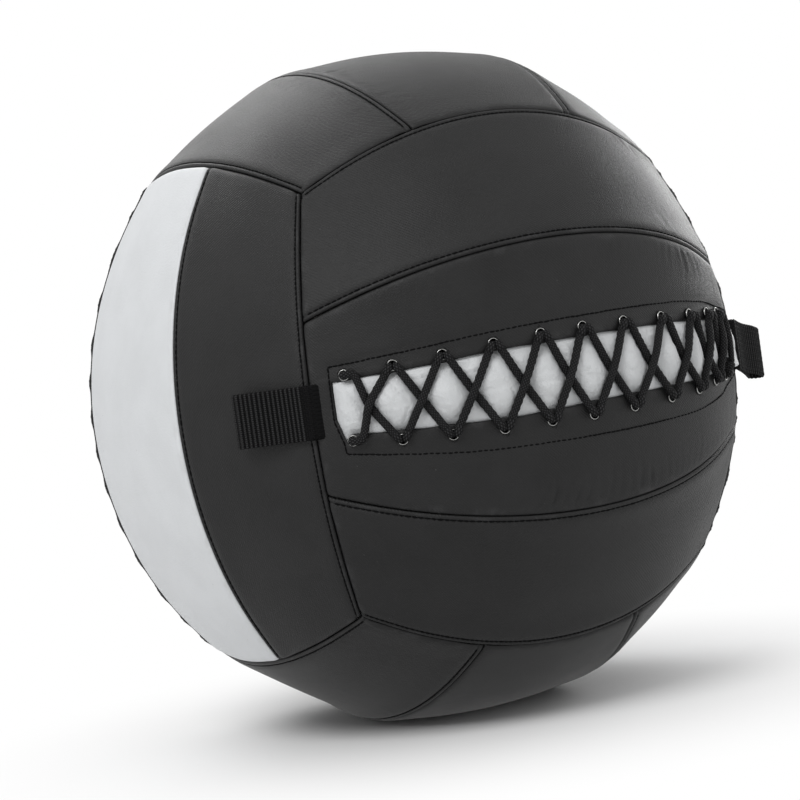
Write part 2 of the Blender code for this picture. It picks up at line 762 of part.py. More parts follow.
def make_loop(side, material):
    """Model a webbing loop: one band, doubled back and sewn to itself beside its seam."""
    name = f"{side}_webbing_loop"
    eye, rim, half, middle = loop_outlines(side)
    root = loop_root(side)
    eye = [loop_side_point(side, *pair) - root[:2] for pair in eye]
    rim = [loop_side_point(side, *pair) - root[:2] for pair in rim]
    way = unit(loop_side_point(side, LOOP_SEWN_LENGTH, middle) - root[:2])
    out = np.array((-way[1], way[0]))
    if np.dot(rim[0], out) < 0:
        out = -out
    root_end = [-half * out, -half * way * LOOP_ROOT_ROUND_SHARE, half * out]
    hang = RIGHT_LOOP_HANG_SHARE if side == "right" else 0
    bm = bmesh.new()
    rings = []
    for height in (-LOOP_WIDTH / 2 - LOOP_DROP, LOOP_WIDTH / 2 - LOOP_DROP):
        ring = {
            key: [bm.verts.new((*pair, height - hang * np.dot(pair, way))) for pair in pairs]
            for key, pairs in (("eye", eye), ("rim", rim), ("root", root_end))
        }
        for index in range(len(eye) - 1):
            bm.faces.new((ring["eye"][index], ring["eye"][index + 1],
                          ring["rim"][index + 1], ring["rim"][index]))
        bm.faces.new((ring["rim"][0], ring["eye"][0], ring["eye"][-1], ring["rim"][-1],
                      *ring["root"]))
        rings.append(ring)
    low, high = rings
    for key, closed in (("eye", True), ("rim", False)):
        count = len(low[key])
        for index in range(count if closed else count - 1):
            following = (index + 1) % count
            bm.faces.new((low[key][index], low[key][following],
                          high[key][following], high[key][index]))
    chain_low = [low["rim"][-1], *low["root"], low["rim"][0]]
    chain_high = [high["rim"][-1], *high["root"], high["rim"][0]]
    for index in range(len(chain_low) - 1):
        bm.faces.new((chain_low[index], chain_low[index + 1],
                      chain_high[index + 1], chain_high[index]))
    loop = make_object(name, mesh_from(bm, name), material)
    loop.location = (root[0], root[1], CENTRE_HEIGHT + root[2])
    if side == "right":
        loop.rotation_euler = (0, 0, -math.radians(RIGHT_LOOP_LIFT_DEGREES))
    return loop


def shell_lining():
    """Search tree of the shell's inner faces, to seat what lies inside."""
    verts = []
    faces = []
    for face in FACES:
        for strip in range(3):
            shares = np.linspace(0, 1, PANEL_COLUMNS + 1)
            across = np.linspace(0, 1, PANEL_ROWS + 1)
            grid_u, grid_v = np.meshgrid(shares, across, indexing="ij")
            points = outer_surface(face, strip, grid_u, grid_v).reshape(-1, 3)
            base = len(verts)
            verts += [inside_shell(Vector(point)) for point in points]
            rows = PANEL_ROWS + 1
            faces += [
                (base + column * rows + row, base + (column + 1) * rows + row,
                 base + (column + 1) * rows + row + 1, base + column * rows + row + 1)
                for column in range(PANEL_COLUMNS) for row in range(PANEL_ROWS)
            ]
    return BVHTree.FromPolygons(verts, faces)


def liner_radius(tree, direction):
    """Radius of the liner's outer face in a direction, dented behind the lacing."""
    hit = tree.ray_cast(Vector((0, 0, 0)), direction)[3]
    if direction.y > 0:
        return hit - LINER_CLEARANCE
    flat = LACING_HALF_WIDTH + EYELET_EDGE_INSET + LACING_ROOM_MARGIN
    share = (abs(direction.z) * hit - flat) / LACING_ROOM_SLOPE
    share = min(max(share, 0), 1)
    ease = share * share * (3 - 2 * share)
    front = min(1, -direction.y * hit / LACING_ROOM_SLOPE)
    return hit - LINER_CLEARANCE - LACING_ROOM * (1 - ease) * front


def lattice_directions():
    """Directions of a lattice round the ball, from the liner's mouth in front to its back."""
    mouth = math.radians(LINER_MOUTH_DEGREES)
    rings = []
    for row in range(LINER_ROWS):
        polar = mouth + (math.pi - mouth) * row / LINER_ROWS
        rings.append([
            Vector((math.sin(polar) * math.cos(turn), -math.cos(polar),
                    math.sin(polar) * math.sin(turn)))
            for turn in (2 * math.pi * column / LINER_COLUMNS for column in range(LINER_COLUMNS))
        ])
    return rings


def add_lattice(bm, rings, radius_of):
    """Add the lattice's faces at the given radii, closed at the back; return its mouth."""
    grid = [[bm.verts.new(way * radius_of(way)) for way in ring] for ring in rings]
    back = Vector((0, 1, 0))
    pole = bm.verts.new(back * radius_of(back))
    for low, high in zip(grid, grid[1:]):
        for column in range(LINER_COLUMNS):
            after = (column + 1) % LINER_COLUMNS
            bm.faces.new((low[column], low[after], high[after], high[column]))
    for column in range(LINER_COLUMNS):
        bm.faces.new((grid[-1][column], grid[-1][(column + 1) % LINER_COLUMNS], pole))
    return grid[0]


def make_hollow(name, outer_of, inner_of, material):
    """Model a thick hollow body round the ball's centre, open at its mouth in front."""
    bm = bmesh.new()
    rings = lattice_directions()
    outer = add_lattice(bm, rings, outer_of)
    inner = add_lattice(bm, rings, inner_of)
    for column in range(LINER_COLUMNS):
        after = (column + 1) % LINER_COLUMNS
        bm.faces.new((outer[column], outer[after], inner[after], inner[column]))
    return make_object(name, mesh_from(bm, name), material)


def liner_lining(tree, direction):
    """Radius of the liner's inner face in a direction."""
    return liner_radius(tree, direction) - LINER_THICKNESS


def fill_radius(tree, direction):
    """Radius of the fibre fill's outer face in a direction."""
    return liner_lining(tree, direction) - FIT_GAP


def core_radius(direction):
    """Radius of the dense core in a direction: a ball pressed flat."""
    return CORE_RADIUS / Vector((direction.x, direction.y, direction.z / CORE_HEIGHT_SHARE)).length


def fill_bore(direction):
    """Radius of the hollow that the fibre fill keeps for the core, in a direction."""
    return core_radius(direction) + FIT_GAP


def make_core(material):
    """Model the pouch of dense filling at the middle."""
    bm = bmesh.new()
    mouth = add_lattice(bm, lattice_directions(), core_radius)
    front = Vector((0, -1, 0))
    pole = bm.verts.new(front * core_radius(front))
    for column in range(LINER_COLUMNS):
        bm.faces.new((mouth[column], mouth[(column + 1) % LINER_COLUMNS], pole))
    return make_object("weight_pouch", mesh_from(bm, "weight_pouch"), material)


def main():
    """Clear the scene and model the ball."""
    for old in list(bpy.data.objects):
        bpy.data.objects.remove(old)
    black = make_material("black_coated_fabric", (0.045, 0.045, 0.047), 0.5)
    silver = make_material("silver_coated_fabric", (0.62, 0.64, 0.66), 0.45)
    tongue = make_material("silver_tongue_fabric", (0.55, 0.57, 0.57), 0.55)
    metal = make_material("eyelet_nickel", (0.6, 0.6, 0.6), 0.3, 1.0)
    cord = make_material("black_braided_cord", (0.012, 0.012, 0.013), 0.8)
    webbing = make_material("black_webbing", (0.014, 0.014, 0.015), 0.75)
    canvas = make_material("liner_canvas", (0.6, 0.58, 0.52), 0.9)
    fibre = make_material("fibre_fill", (0.45, 0.44, 0.42), 1.0)
    pouch = make_material("pouch_canvas", (0.25, 0.25, 0.27), 0.9)
    cutter = make_hole_cutter()
    for face, names in STRIP_NAMES.items():
        for strip, name in enumerate(names):
            material = silver if name in SILVER_PANELS else black
            if name == "front_laced_panel":
                make_laced_panel(material, cutter)
            else:
                make_panel(face, strip, material)
    make_eyelets(metal)
    make_lace(cord)
    make_tongue(tongue, cutter)
    make_loop("left", webbing)
    make_loop("right", webbing)
    tree = shell_lining()
    make_hollow("inner_liner", partial(liner_radius, tree), partial(liner_lining, tree), canvas)
    make_hollow("soft_fill", partial(fill_radius, tree), fill_bore, fibre)
    make_core(pouch)


main()
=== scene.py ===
"""Soft wall ball, dressed: sewn shell, laced tongue, webbing loops and what fills it.

Metres, +Z up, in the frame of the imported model. A place on a strip of the shell is a length along
it, from its first end seam, and a length across it, from its low long seam. A place on the lacing
is a length along the laced strip and a length across it from its middle line. Heights stand over
the strip's own face.
"""
import logging
import math
from collections.abc import Callable, Sequence
from dataclasses import dataclass, field
from enum import Enum
from functools import cached_property, reduce

import bmesh
import bpy
import numpy as np
from bpy.types import Material, Node, NodeSocket, NodeTree, Object
from mathutils import Matrix, Vector


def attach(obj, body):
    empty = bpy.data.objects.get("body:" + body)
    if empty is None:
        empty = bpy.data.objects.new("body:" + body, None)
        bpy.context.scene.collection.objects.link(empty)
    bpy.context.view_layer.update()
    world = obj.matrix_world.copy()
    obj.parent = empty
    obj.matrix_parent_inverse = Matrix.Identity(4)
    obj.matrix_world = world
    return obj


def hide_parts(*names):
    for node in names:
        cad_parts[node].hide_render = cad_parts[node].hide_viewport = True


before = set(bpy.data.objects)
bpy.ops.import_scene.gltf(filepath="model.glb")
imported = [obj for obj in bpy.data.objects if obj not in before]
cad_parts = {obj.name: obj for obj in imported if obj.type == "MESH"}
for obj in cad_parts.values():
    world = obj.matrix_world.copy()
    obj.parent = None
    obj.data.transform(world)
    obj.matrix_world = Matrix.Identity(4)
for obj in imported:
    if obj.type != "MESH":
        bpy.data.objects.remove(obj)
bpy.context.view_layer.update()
LOG = logging.getLogger("wall_ball")
MM = 0.001

Array = np.ndarray
Triple = tuple[float, float, float]
Pair = tuple[float, float]


# Small helpers


def unit(vectors: Array | Sequence[float]) -> Array:
    """Return vectors at length one."""
    vectors = np.asarray(vectors, float)
    return vectors / np.linalg.norm(vectors, axis=-1, keepdims=True)


def eased(values: Array) -> Array:
    """Return values held to 0 to 1, with a soft start and a soft end."""
    held = np.clip(values, 0, 1)
    return held * held * (3 - 2 * held)


def soft_noise(x: Array, y: Array, seed: float) -> Array:
    """Smooth noise over a plane, with about one lump to a unit.

    Args:
        x: Places along the first way.
        y: Places along the second way.
        seed: Picks one of many patterns.

    Returns:
        Values from -1 to 1, one for each place.
    """
    low_x, low_y = np.floor(x), np.floor(y)
    share_x, share_y = eased(x - low_x), eased(y - low_y)

    def lattice(i: Array, j: Array) -> Array:
        """Return a fixed, uneven value for each lattice point."""
        value = np.sin(i * 127.1 + j * 311.7 + seed * 74.7) * 43758.5453
        return 2 * (value - np.floor(value)) - 1

    low = lattice(low_x, low_y) * (1 - share_x) + lattice(low_x + 1, low_y) * share_x
    high = lattice(low_x, low_y + 1) * (1 - share_x) + lattice(low_x + 1, low_y + 1) * share_x
    return low * (1 - share_y) + high * share_y


def circle_arc(start: Array, middle: Array, end: Array, shares: Array) -> Array:
    """Return points at the given shares along the circle arc through three points."""
    normal = unit(np.cross(middle - start, end - middle))
    rows = np.array((middle - start, end - middle, normal))
    sides = np.array((
        np.dot(middle - start, (middle + start) / 2),
        np.dot(end - middle, (end + middle) / 2),
        np.dot(normal, start),
    ))
    centre = np.linalg.solve(rows, sides)
    radius = np.linalg.norm(start - centre)
    first = (start - centre) / radius
    second = np.cross(normal, first)
    full = math.atan2(np.dot(end - centre, second), np.dot(end - centre, first)) % (2 * math.pi)
    angles = np.asarray(shares, float)[..., None] * full
    return centre + radius * (np.cos(angles) * first + np.sin(angles) * second)


def smooth_path(points: Array, steps: int) -> Array:
    """Return a smooth curve through points of any number of values, steps to each stretch."""
    points = np.asarray(points, float)
    route = np.vstack((points[:1], points, points[-1:]))
    before, start, end, after = (route[shift:len(route) - 3 + shift] for shift in range(4))
    shares = (np.arange(steps) / steps)[:, None]
    blocks = 0.5 * (
        2 * start[:, None] + (end - before)[:, None] * shares
        + (2 * before - 5 * start + 4 * end - after)[:, None] * shares ** 2
        + (3 * start - before - 3 * end + after)[:, None] * shares ** 3
    )
    return np.vstack((blocks.reshape(-1, points.shape[1]), points[-1:]))


def travelled(points: Array) -> Array:
    """Return how far along a path each of its points lies."""
    return np.concatenate(([0], np.cumsum(np.linalg.norm(np.diff(points, axis=0), axis=1))))


def even_path(points: Array, step: float) -> Array:
    """Return points spread evenly along a path, its first three values being its place."""
    lengths = travelled(points[:, :3])
    wanted = np.linspace(0, lengths[-1], max(2, round(lengths[-1] / step) + 1))
    return np.stack([np.interp(wanted, lengths, column) for column in points.T], axis=1)


def ladder(low_steps: Sequence[float], high_steps: Sequence[float], total: Array,
           middle_rows: int) -> Array:
    """Lay rows between two edges: fixed steps beside each edge, even ones between.

    Args:
        low_steps: Distances from the first edge at which rows lie.
        high_steps: Distances from the other edge.
        total: Distance between the edges, one for each column.
        middle_rows: Number of stretches between the two sets of steps.

    Returns:
        Distances from the first edge, as columns by rows.
    """
    total = np.asarray(total, float)[:, None]
    low = np.broadcast_to(low_steps, (len(total), len(low_steps)))
    high = total - np.array(high_steps)[::-1]
    shares = np.linspace(0, 1, middle_rows + 1)[1:-1]
    middle = low[:, -1:] + (high[:, :1] - low[:, -1:]) * shares
    return np.hstack((low, middle, high))


# Meshes


@dataclass
class Cloth:
    """A mesh in the making: points, faces, and what its material reads from it.

    Attributes:
        points: Places of the vertices.
        faces: Four or three vertex numbers for each face.
        flat: Place of each face corner on the flat material, in metres.
        marks: Values for each vertex, by name.
    """

    points: Array
    faces: list[tuple[int, ...]]
    flat: Array
    marks: dict[str, Array] = field(default_factory=dict)

    @classmethod
    def grid(cls, points: Array, flat: Array, marks: dict[str, Array] | None = None,
             keep: Array | None = None, round_v: bool = False, flip: bool = False) -> "Cloth":
        """Lay faces over a grid of points.

        Args:
            points: Places, as columns by rows by three.
            flat: Places on the flat material, as columns by rows by two.
            marks: Values for the vertices, as columns by rows.
            keep: Which cells get a face, as columns less one by rows less one.
            round_v: Whether the last row is the first one again.
            flip: Whether the faces look the other way.

        Returns:
            The mesh in the making.
        """
        columns, rows = points.shape[:2]
        body = rows - 1 if round_v else rows
        number = np.arange(columns * body).reshape(columns, body)
        if round_v:
            number = np.hstack((number, number[:, :1]))
        cells = np.stack((number[:-1, :-1], number[1:, :-1], number[1:, 1:], number[:-1, 1:]), -1)
        spots = np.stack((flat[:-1, :-1], flat[1:, :-1], flat[1:, 1:], flat[:-1, 1:]), 2)
        if flip:
            cells, spots = cells[..., ::-1], spots[:, :, ::-1]
        if keep is None:
            keep = np.ones(cells.shape[:2], bool)
        faces = [tuple(int(i) for i in cell) for cell in cells[keep]]
        values = {name: mark[:, :body].ravel() for name, mark in (marks or {}).items()}
        return cls(points[:, :body].reshape(-1, 3), faces, spots[keep].reshape(-1, 2), values)

    def cap(self, count: int, flip: bool = False) -> None:
        """Close both ends of a tube.

        Args:
            count: Number of points round the tube.
            flip: Whether the faces look the other way.
        """
        ends = tuple(range(count)), tuple(range(len(self.points) - count, len(self.points)))
        self.faces += [ends[0][::1 if flip else -1], ends[1][::-1 if flip else 1]]
        self.flat = np.vstack((self.flat, np.zeros((2 * count, 2))))

    def piece(self, name: str, material: Material) -> Object:
        """Make the mesh into a piece of the scene, shaded smooth."""
        used = np.zeros(len(self.points), bool)
        used[[i for face in self.faces for i in face]] = True
        number = np.cumsum(used) - 1
        mesh = bpy.data.meshes.new(name)
        mesh.from_pydata(self.points[used].tolist(), [],
                         [tuple(int(number[i]) for i in face) for face in self.faces])
        layer = mesh.uv_layers.new(name="metres")
        layer.data.foreach_set("uv", np.ascontiguousarray(self.flat, np.float32).ravel())
        for mark, values in self.marks.items():
            attribute = mesh.attributes.new(mark, "FLOAT", "POINT")
            attribute.data.foreach_set("value", np.ascontiguousarray(values[used], np.float32))
        mesh.materials.append(material)
        mesh.shade_smooth()
        mesh.update()
        piece = bpy.data.objects.new(name, mesh)
        bpy.context.scene.collection.objects.link(piece)
        return piece


def tube(path: Array, radii: Array, sides: int,
         swell: Callable[[Array, Array], Array] | None = None) -> Cloth:
    """Sweep a round section along a path.

    Args:
        path: Places of the middle line.
        radii: Radius at each place.
        sides: Number of flats round the section.
        swell: Gives a factor on the radius from lengths along and shares of a turn.

    Returns:
        The tube with its ends capped. Its flat places are length and length round.
    """
    ways = unit(np.gradient(path, axis=0))
    side = unit(np.cross(ways[0], (0.3, 0.2, 1.0)))
    sides_at = []
    for way in ways:
        side = unit(side - np.dot(side, way) * way)
        sides_at.append(side)
    first = np.array(sides_at)
    second = np.cross(ways, first)
    lengths = travelled(path)
    turns = np.linspace(0, 1, sides + 1)
    angles = 2 * math.pi * turns
    reach = np.broadcast_to(radii[:, None], (len(path), sides + 1))
    if swell is not None:
        reach = reach * swell(lengths[:, None], turns[None, :])
    points = path[:, None] + reach[..., None] * (
        np.cos(angles)[None, :, None] * first[:, None]
        + np.sin(angles)[None, :, None] * second[:, None]
    )
    flat = np.stack(np.broadcast_arrays(
        lengths[:, None], turns[None, :] * 2 * math.pi * float(np.median(radii))), -1)
    cloth = Cloth.grid(points, flat, round_v=True, flip=True)
    cloth.cap(sides, flip=True)
    return cloth


def joined(cloths: Sequence[Cloth]) -> Cloth:
    """Join several meshes in the making into one."""
    faces: list[tuple[int, ...]] = []
    base = 0
    for cloth in cloths:
        faces += [tuple(base + i for i in face) for face in cloth.faces]
        base += len(cloth.points)
    marks = {name: np.concatenate([cloth.marks[name] for cloth in cloths])
             for name in cloths[0].marks}
    return Cloth(np.vstack([cloth.points for cloth in cloths]), faces,
                 np.vstack([cloth.flat for cloth in cloths]), marks)


def thickened(piece: Object, thickness: float) -> None:
    """Give a sheet its thickness, inwards from its face."""
    solidify = piece.modifiers.new("thickness", "SOLIDIFY")
    solidify.thickness = thickness
    solidify.offset = -1
    solidify.use_even_offset = True
    solidify.use_quality_normals = True


def settle_modifiers(piece: Object) -> None:
    """Make a piece's modifiers part of its mesh."""
    graph = bpy.context.evaluated_depsgraph_get()
    mesh = bpy.data.meshes.new_from_object(piece.evaluated_get(graph))
    piece.modifiers.clear()
    piece.data = mesh


# Shell


class Face(Enum):
    """The six faces of the ball, by the way they look."""

    FRONT = "front"
    BACK = "back"
    LEFT = "left"
    RIGHT = "right"
    TOP = "top"
    BOTTOM = "bottom"


@dataclass(frozen=True)
class Layout:
    """How one face of three strips lies, and where its seams run.

    Attributes:
        normal: The way the face looks.
        along: The way its strips run.
        across: The way from its first strip to its last.
        side_degrees: Angle of its long outer seams from its middle.
        inner_degrees: Angle of the seams between its strips.
        inner_end: Share of the half end at which those seams end.
        strips: Names of its panels.
    """

    normal: Triple
    along: Triple
    across: Triple
    side_degrees: float
    inner_degrees: float
    inner_end: float
    strips: tuple[str, str, str]

    def axes(self) -> tuple[Array, Array, Array]:
        """Return the three ways as arrays."""
        return np.array(self.normal), np.array(self.along), np.array(self.across)


# Angles of the long outer and inner seams, and where the inner ones end, for each pair of faces
LEVEL = (46.8, 21.3, 0.38)
UPRIGHT = (44.2, 18.2, 0.355)
OVER = (44.9, 19.2, 0.415)

X, Y, Z = (1.0, 0.0, 0.0), (0.0, 1.0, 0.0), (0.0, 0.0, 1.0)
LAYOUTS = {
    face: Layout(normal, along, across, *seams,
                 tuple(f"{face.value}_{word}_panel" for word in words))
    for face, normal, along, across, seams, words in (
        (Face.FRONT, (0.0, -1.0, 0.0), X, Z, LEVEL, ("lower", "laced", "upper")),
        (Face.BACK, Y, X, Z, LEVEL, ("lower", "middle", "upper")),
        (Face.LEFT, (-1.0, 0.0, 0.0), Z, Y, UPRIGHT, ("front", "middle", "back")),
        (Face.RIGHT, X, Z, Y, UPRIGHT, ("front", "middle", "back")),
        (Face.TOP, Z, Y, X, OVER, ("left", "middle", "right")),
        (Face.BOTTOM, (0.0, 0.0, -1.0), Y, X, OVER, ("left", "middle", "right")),
    )
}


@dataclass(frozen=True)
class SewnShell:
    """The ball's face: eighteen strips, each stretched between its four sewn edges.

    Attributes:
        radii: Half sizes of the surface that the seams lie on.
        corner: Direction of the corners, as shares of the diagonal.
        rest_depth: How far the ball settles on the floor.
        slack: Where the soft shell lies slack: the way there, its spread in degrees, its depth.
        step: Share of a strip over which its slope is measured.
    """

    radii: Triple = (0.1735, 0.184, 0.185)
    corner: Triple = (1.03, 1.0, 0.99)
    rest_depth: float = 0.0035
    slack: tuple[tuple[Triple, float, float], ...] = (
        ((0.81, -0.41, 0.43), 23.0, 0.0042),
        ((-0.74, 0.41, 0.54), 20.0, 0.0015),
        ((-0.285, 0.19, 0.94), 14.0, 0.0028),
        ((-0.49, 0.22, -0.845), 15.0, 0.0036),
    )
    step: float = 0.0005

    @cached_property
    def centre_height(self) -> float:
        """Height of the ball's centre over the floor."""
        return abs(float(self.stretched(Face.BOTTOM, 1, 0.5, 0.5)[2])) - self.rest_depth

    def side_seam(self, face: Face, sign: float, shares: Array) -> Array:
        """Return points on a face's long outer seam, on the unit sphere."""
        normal, along, across = LAYOUTS[face].axes()
        angle = math.radians(LAYOUTS[face].side_degrees)
        start = unit((normal - along + sign * across) * self.corner)
        end = unit((normal + along + sign * across) * self.corner)
        middle = math.cos(angle) * normal + sign * math.sin(angle) * across
        return circle_arc(start, middle, end, shares)

    def end_seam(self, face: Face, end: int, shares: Array) -> Array:
        """Return points on a face's end, which is its neighbour's side seam."""
        normal, along, across = LAYOUTS[face].axes()
        for other, layout in LAYOUTS.items():
            other_normal, other_along, other_across = layout.axes()
            if np.allclose(other_normal, end * along):
                sign = 1 if np.dot(other_across, normal) > 0 else -1
                way = 1 if np.dot(other_along, across) > 0 else -1
                return self.side_seam(other, sign, (1 + way * np.asarray(shares, float)) / 2)
        raise ValueError(face)

    def inner_seam(self, face: Face, sign: float, shares: Array) -> Array:
        """Return points on the seam between two strips of a face, on the unit sphere."""
        normal, _, across = LAYOUTS[face].axes()
        end_share = sign * LAYOUTS[face].inner_end
        angle = math.radians(LAYOUTS[face].inner_degrees)
        start = self.end_seam(face, -1, end_share)
        end = self.end_seam(face, 1, end_share)
        middle = math.cos(angle) * normal + sign * math.sin(angle) * across
        return circle_arc(start, middle, end, shares)

    def long_edge(self, face: Face, strip: int, high: bool, shares: Array) -> Array:
        """Return points on a strip's low or high long edge, on the unit sphere."""
        if high:
            seam = self.side_seam if strip == 2 else self.inner_seam
            return seam(face, 1 if strip > 0 else -1, shares)
        seam = self.side_seam if strip == 0 else self.inner_seam
        return seam(face, -1 if strip < 2 else 1, shares)

    def stretched(self, face: Face, strip: int, u: Array, v: Array) -> Array:
        """Return points of a strip's face from the ball's centre, at shares of its size."""
        u, v = np.broadcast_arrays(np.asarray(u, float), np.asarray(v, float))
        share = LAYOUTS[face].inner_end
        limits = ((-1, -share), (-share, share), (share, 1))[strip]
        across = limits[0] + (limits[1] - limits[0]) * v
        low = self.long_edge(face, strip, False, u)
        high = self.long_edge(face, strip, True, u)
        start = self.end_seam(face, -1, across)
        end = self.end_seam(face, 1, across)
        corners = [self.long_edge(face, strip, top, np.array(float(side)))
                   for top in (False, True) for side in (0, 1)]
        u, v = u[..., None], v[..., None]
        between = (1 - v) * low + v * high + (1 - u) * start + u * end
        twice = ((1 - u) * (1 - v) * corners[0] + u * (1 - v) * corners[1]
                 + (1 - u) * v * corners[2] + u * v * corners[3])
        return (between - twice) * self.radii

    def slackened(self, points: Array) -> Array:
        """Return points from the ball's centre, moved in where the shell lies slack."""
        ways = unit(points)
        total = np.zeros(ways.shape[:-1])
        for way, degrees, depth in self.slack:
            angle = np.degrees(np.arccos(np.clip(ways @ unit(way), -1, 1)))
            total = total + depth * np.exp(-(angle / degrees) ** 2)
        return points - ways * total[..., None]

    def length(self, face: Face, strip: int) -> float:
        """Return a strip's length along its middle."""
        points = self.stretched(face, strip, np.linspace(0, 1, 65), 0.5)
        return float(np.linalg.norm(np.diff(points, axis=0), axis=1).sum())

    def width(self, face: Face, strip: int, u: Array) -> Array:
        """Return a strip's widths, seam to seam, at shares of its length."""
        low = self.long_edge(face, strip, False, np.asarray(u, float))
        high = self.long_edge(face, strip, True, np.asarray(u, float))
        return np.linalg.norm((high - low) * self.radii, axis=-1)

    def place(self, face: Face, strip: int, along: Array, across: Array,
              height: Array | float = 0.0) -> tuple[Array, Array, Array]:
        """Find places on a strip, or over it.

        Args:
            face: The face that the strip belongs to.
            strip: Its number, from 0 to 2.
            along: Lengths along the strip.
            across: Lengths across it, from its low edge.
            height: Heights over its face.

        Returns:
            The places, the outward normals and the ways along the strip.
        """
        along, across = np.broadcast_arrays(np.asarray(along, float), np.asarray(across, float))
        u = along / self.length(face, strip)
        v = across / self.width(face, strip, u)
        here = self.slackened(self.stretched(face, strip, u, v))
        way = self.slackened(self.stretched(face, strip, u + self.step, v)) - here
        side = self.slackened(self.stretched(face, strip, u, v + self.step)) - here
        normal = unit(np.cross(way, side))
        normal = normal * np.sign(np.sum(normal * here, -1, keepdims=True))
        points = here + normal * np.asarray(height, float)[..., None]
        points[..., 2] = np.maximum(points[..., 2] + self.centre_height, 0)
        return points, normal, unit(way)


SHELL = SewnShell()


# Materials


class Nodes:
    """Lays out the nodes of one material or node group."""

    def __init__(self, tree: NodeTree) -> None:
        """Keep the tree that nodes go into."""
        self.tree = tree

    def feed(self, socket: NodeSocket, value: object) -> None:
        """Link or set a socket."""
        if isinstance(value, NodeSocket):
            self.tree.links.new(value, socket)
        else:
            socket.default_value = value

    def add(self, kind: str, *inputs: object, **values: object) -> Node:
        """Add a node and set it up.

        Args:
            kind: Blender's name for the node.
            *inputs: Values or links of its first inputs, in their order.
            **values: Settings of the node by name, and input values or links by the socket's
                name with underscores for spaces.

        Returns:
            The node.
        """
        node = self.tree.nodes.new(kind)
        fed = {name: value for name, value in values.items() if not hasattr(node, name)}
        for name, value in values.items():
            if name not in fed:
                setattr(node, name, value)
        for name, value in fed.items():
            self.feed(node.inputs[name.replace("_", " ")], value)
        for socket, value in zip(node.inputs, inputs):
            self.feed(socket, value)
        return node

    def math(self, operation: str, *values: object, clamp: bool = False) -> NodeSocket:
        """Add a sum on numbers and return its result."""
        return self.add("ShaderNodeMath", *values, operation=operation, use_clamp=clamp).outputs[0]

    def vector(self, operation: str, *values: object) -> NodeSocket:
        """Add a sum on vectors and return its result."""
        return self.add("ShaderNodeVectorMath", *values, operation=operation).outputs[0]

    def plus(self, one: object, two: object) -> NodeSocket:
        """Return one number plus another."""
        return self.math("ADD", one, two)

    def minus(self, one: object, two: object) -> NodeSocket:
        """Return one number less another."""
        return self.math("SUBTRACT", one, two)

    def times(self, *values: object) -> NodeSocket:
        """Return the product of some numbers."""
        return reduce(lambda one, two: self.math("MULTIPLY", one, two), values)

    def sine(self, value: object, factor: float) -> NodeSocket:
        """Return the sine of a number times a factor."""
        return self.math("SINE", self.times(value, factor))

    def between(self, share: object, low: object, high: object) -> NodeSocket:
        """Return a number from low to high by a share from 0 to 1."""
        return self.add("ShaderNodeMapRange", Value=share, To_Min=low,
                        To_Max=high).outputs["Result"]

    def step(self, value: object, low: object, high: object) -> NodeSocket:
        """Return how far a number has gone from low to high, softly, from 0 to 1."""
        return self.add("ShaderNodeMapRange", interpolation_type="SMOOTHSTEP", Value=value,
                        From_Min=low, From_Max=high).outputs["Result"]

    def colour(self, share: object, low: object, high: object) -> NodeSocket:
        """Return a colour from low to high by a share from 0 to 1."""
        node = self.add("ShaderNodeMix", data_type="RGBA")
        sockets = {socket.identifier: socket for socket in node.inputs}
        for name, value in (("Factor_Float", share), ("A_Color", low), ("B_Color", high)):
            if isinstance(value, tuple) and len(value) == 3:
                value = (*value, 1.0)
            self.feed(sockets[name], value)
        return next(socket for socket in node.outputs if socket.identifier == "Result_Color")

    def noise(self, vector: object, scale: float, detail: float,
              roughness: float) -> NodeSocket:
        """Return noise from 0 to 1."""
        return self.add("ShaderNodeTexNoise", Vector=vector, Scale=scale, Detail=detail,
                        Roughness=roughness).outputs["Fac"]

    def parts(self, vector: object) -> Sequence[NodeSocket]:
        """Return the three numbers of a vector."""
        return self.add("ShaderNodeSeparateXYZ", vector).outputs

    def slants(self, place: object, pitch: object) -> list[NodeSocket]:
        """Return how many pitches a place lies along each of two ways that slant."""
        along, across = self.parts(place)[:2]
        return [self.math("DIVIDE", self.math(sign, along, across), pitch)
                for sign in ("ADD", "SUBTRACT")]

    def mark(self, name: str) -> NodeSocket:
        """Return a value that the mesh carries."""
        return self.add("ShaderNodeAttribute", attribute_name=name).outputs["Fac"]

    def millimetres(self, place: NodeSocket) -> NodeSocket:
        """Return a place in metres in millimetres."""
        return self.vector("MULTIPLY", place, (1 / MM, 1 / MM, 1 / MM))

    def flat_place(self) -> NodeSocket:
        """Return the place on the flat material, in millimetres."""
        return self.millimetres(self.add("ShaderNodeUVMap", uv_map="metres").outputs[0])

    def solid_place(self) -> NodeSocket:
        """Return the place in space, in millimetres."""
        return self.millimetres(self.add("ShaderNodeTexCoord").outputs["Object"])

    def group(self, tree: NodeTree, **values: object) -> Sequence[NodeSocket]:
        """Place a shared group, feed it and return what it puts out."""
        return self.add("ShaderNodeGroup", node_tree=tree, **values).outputs


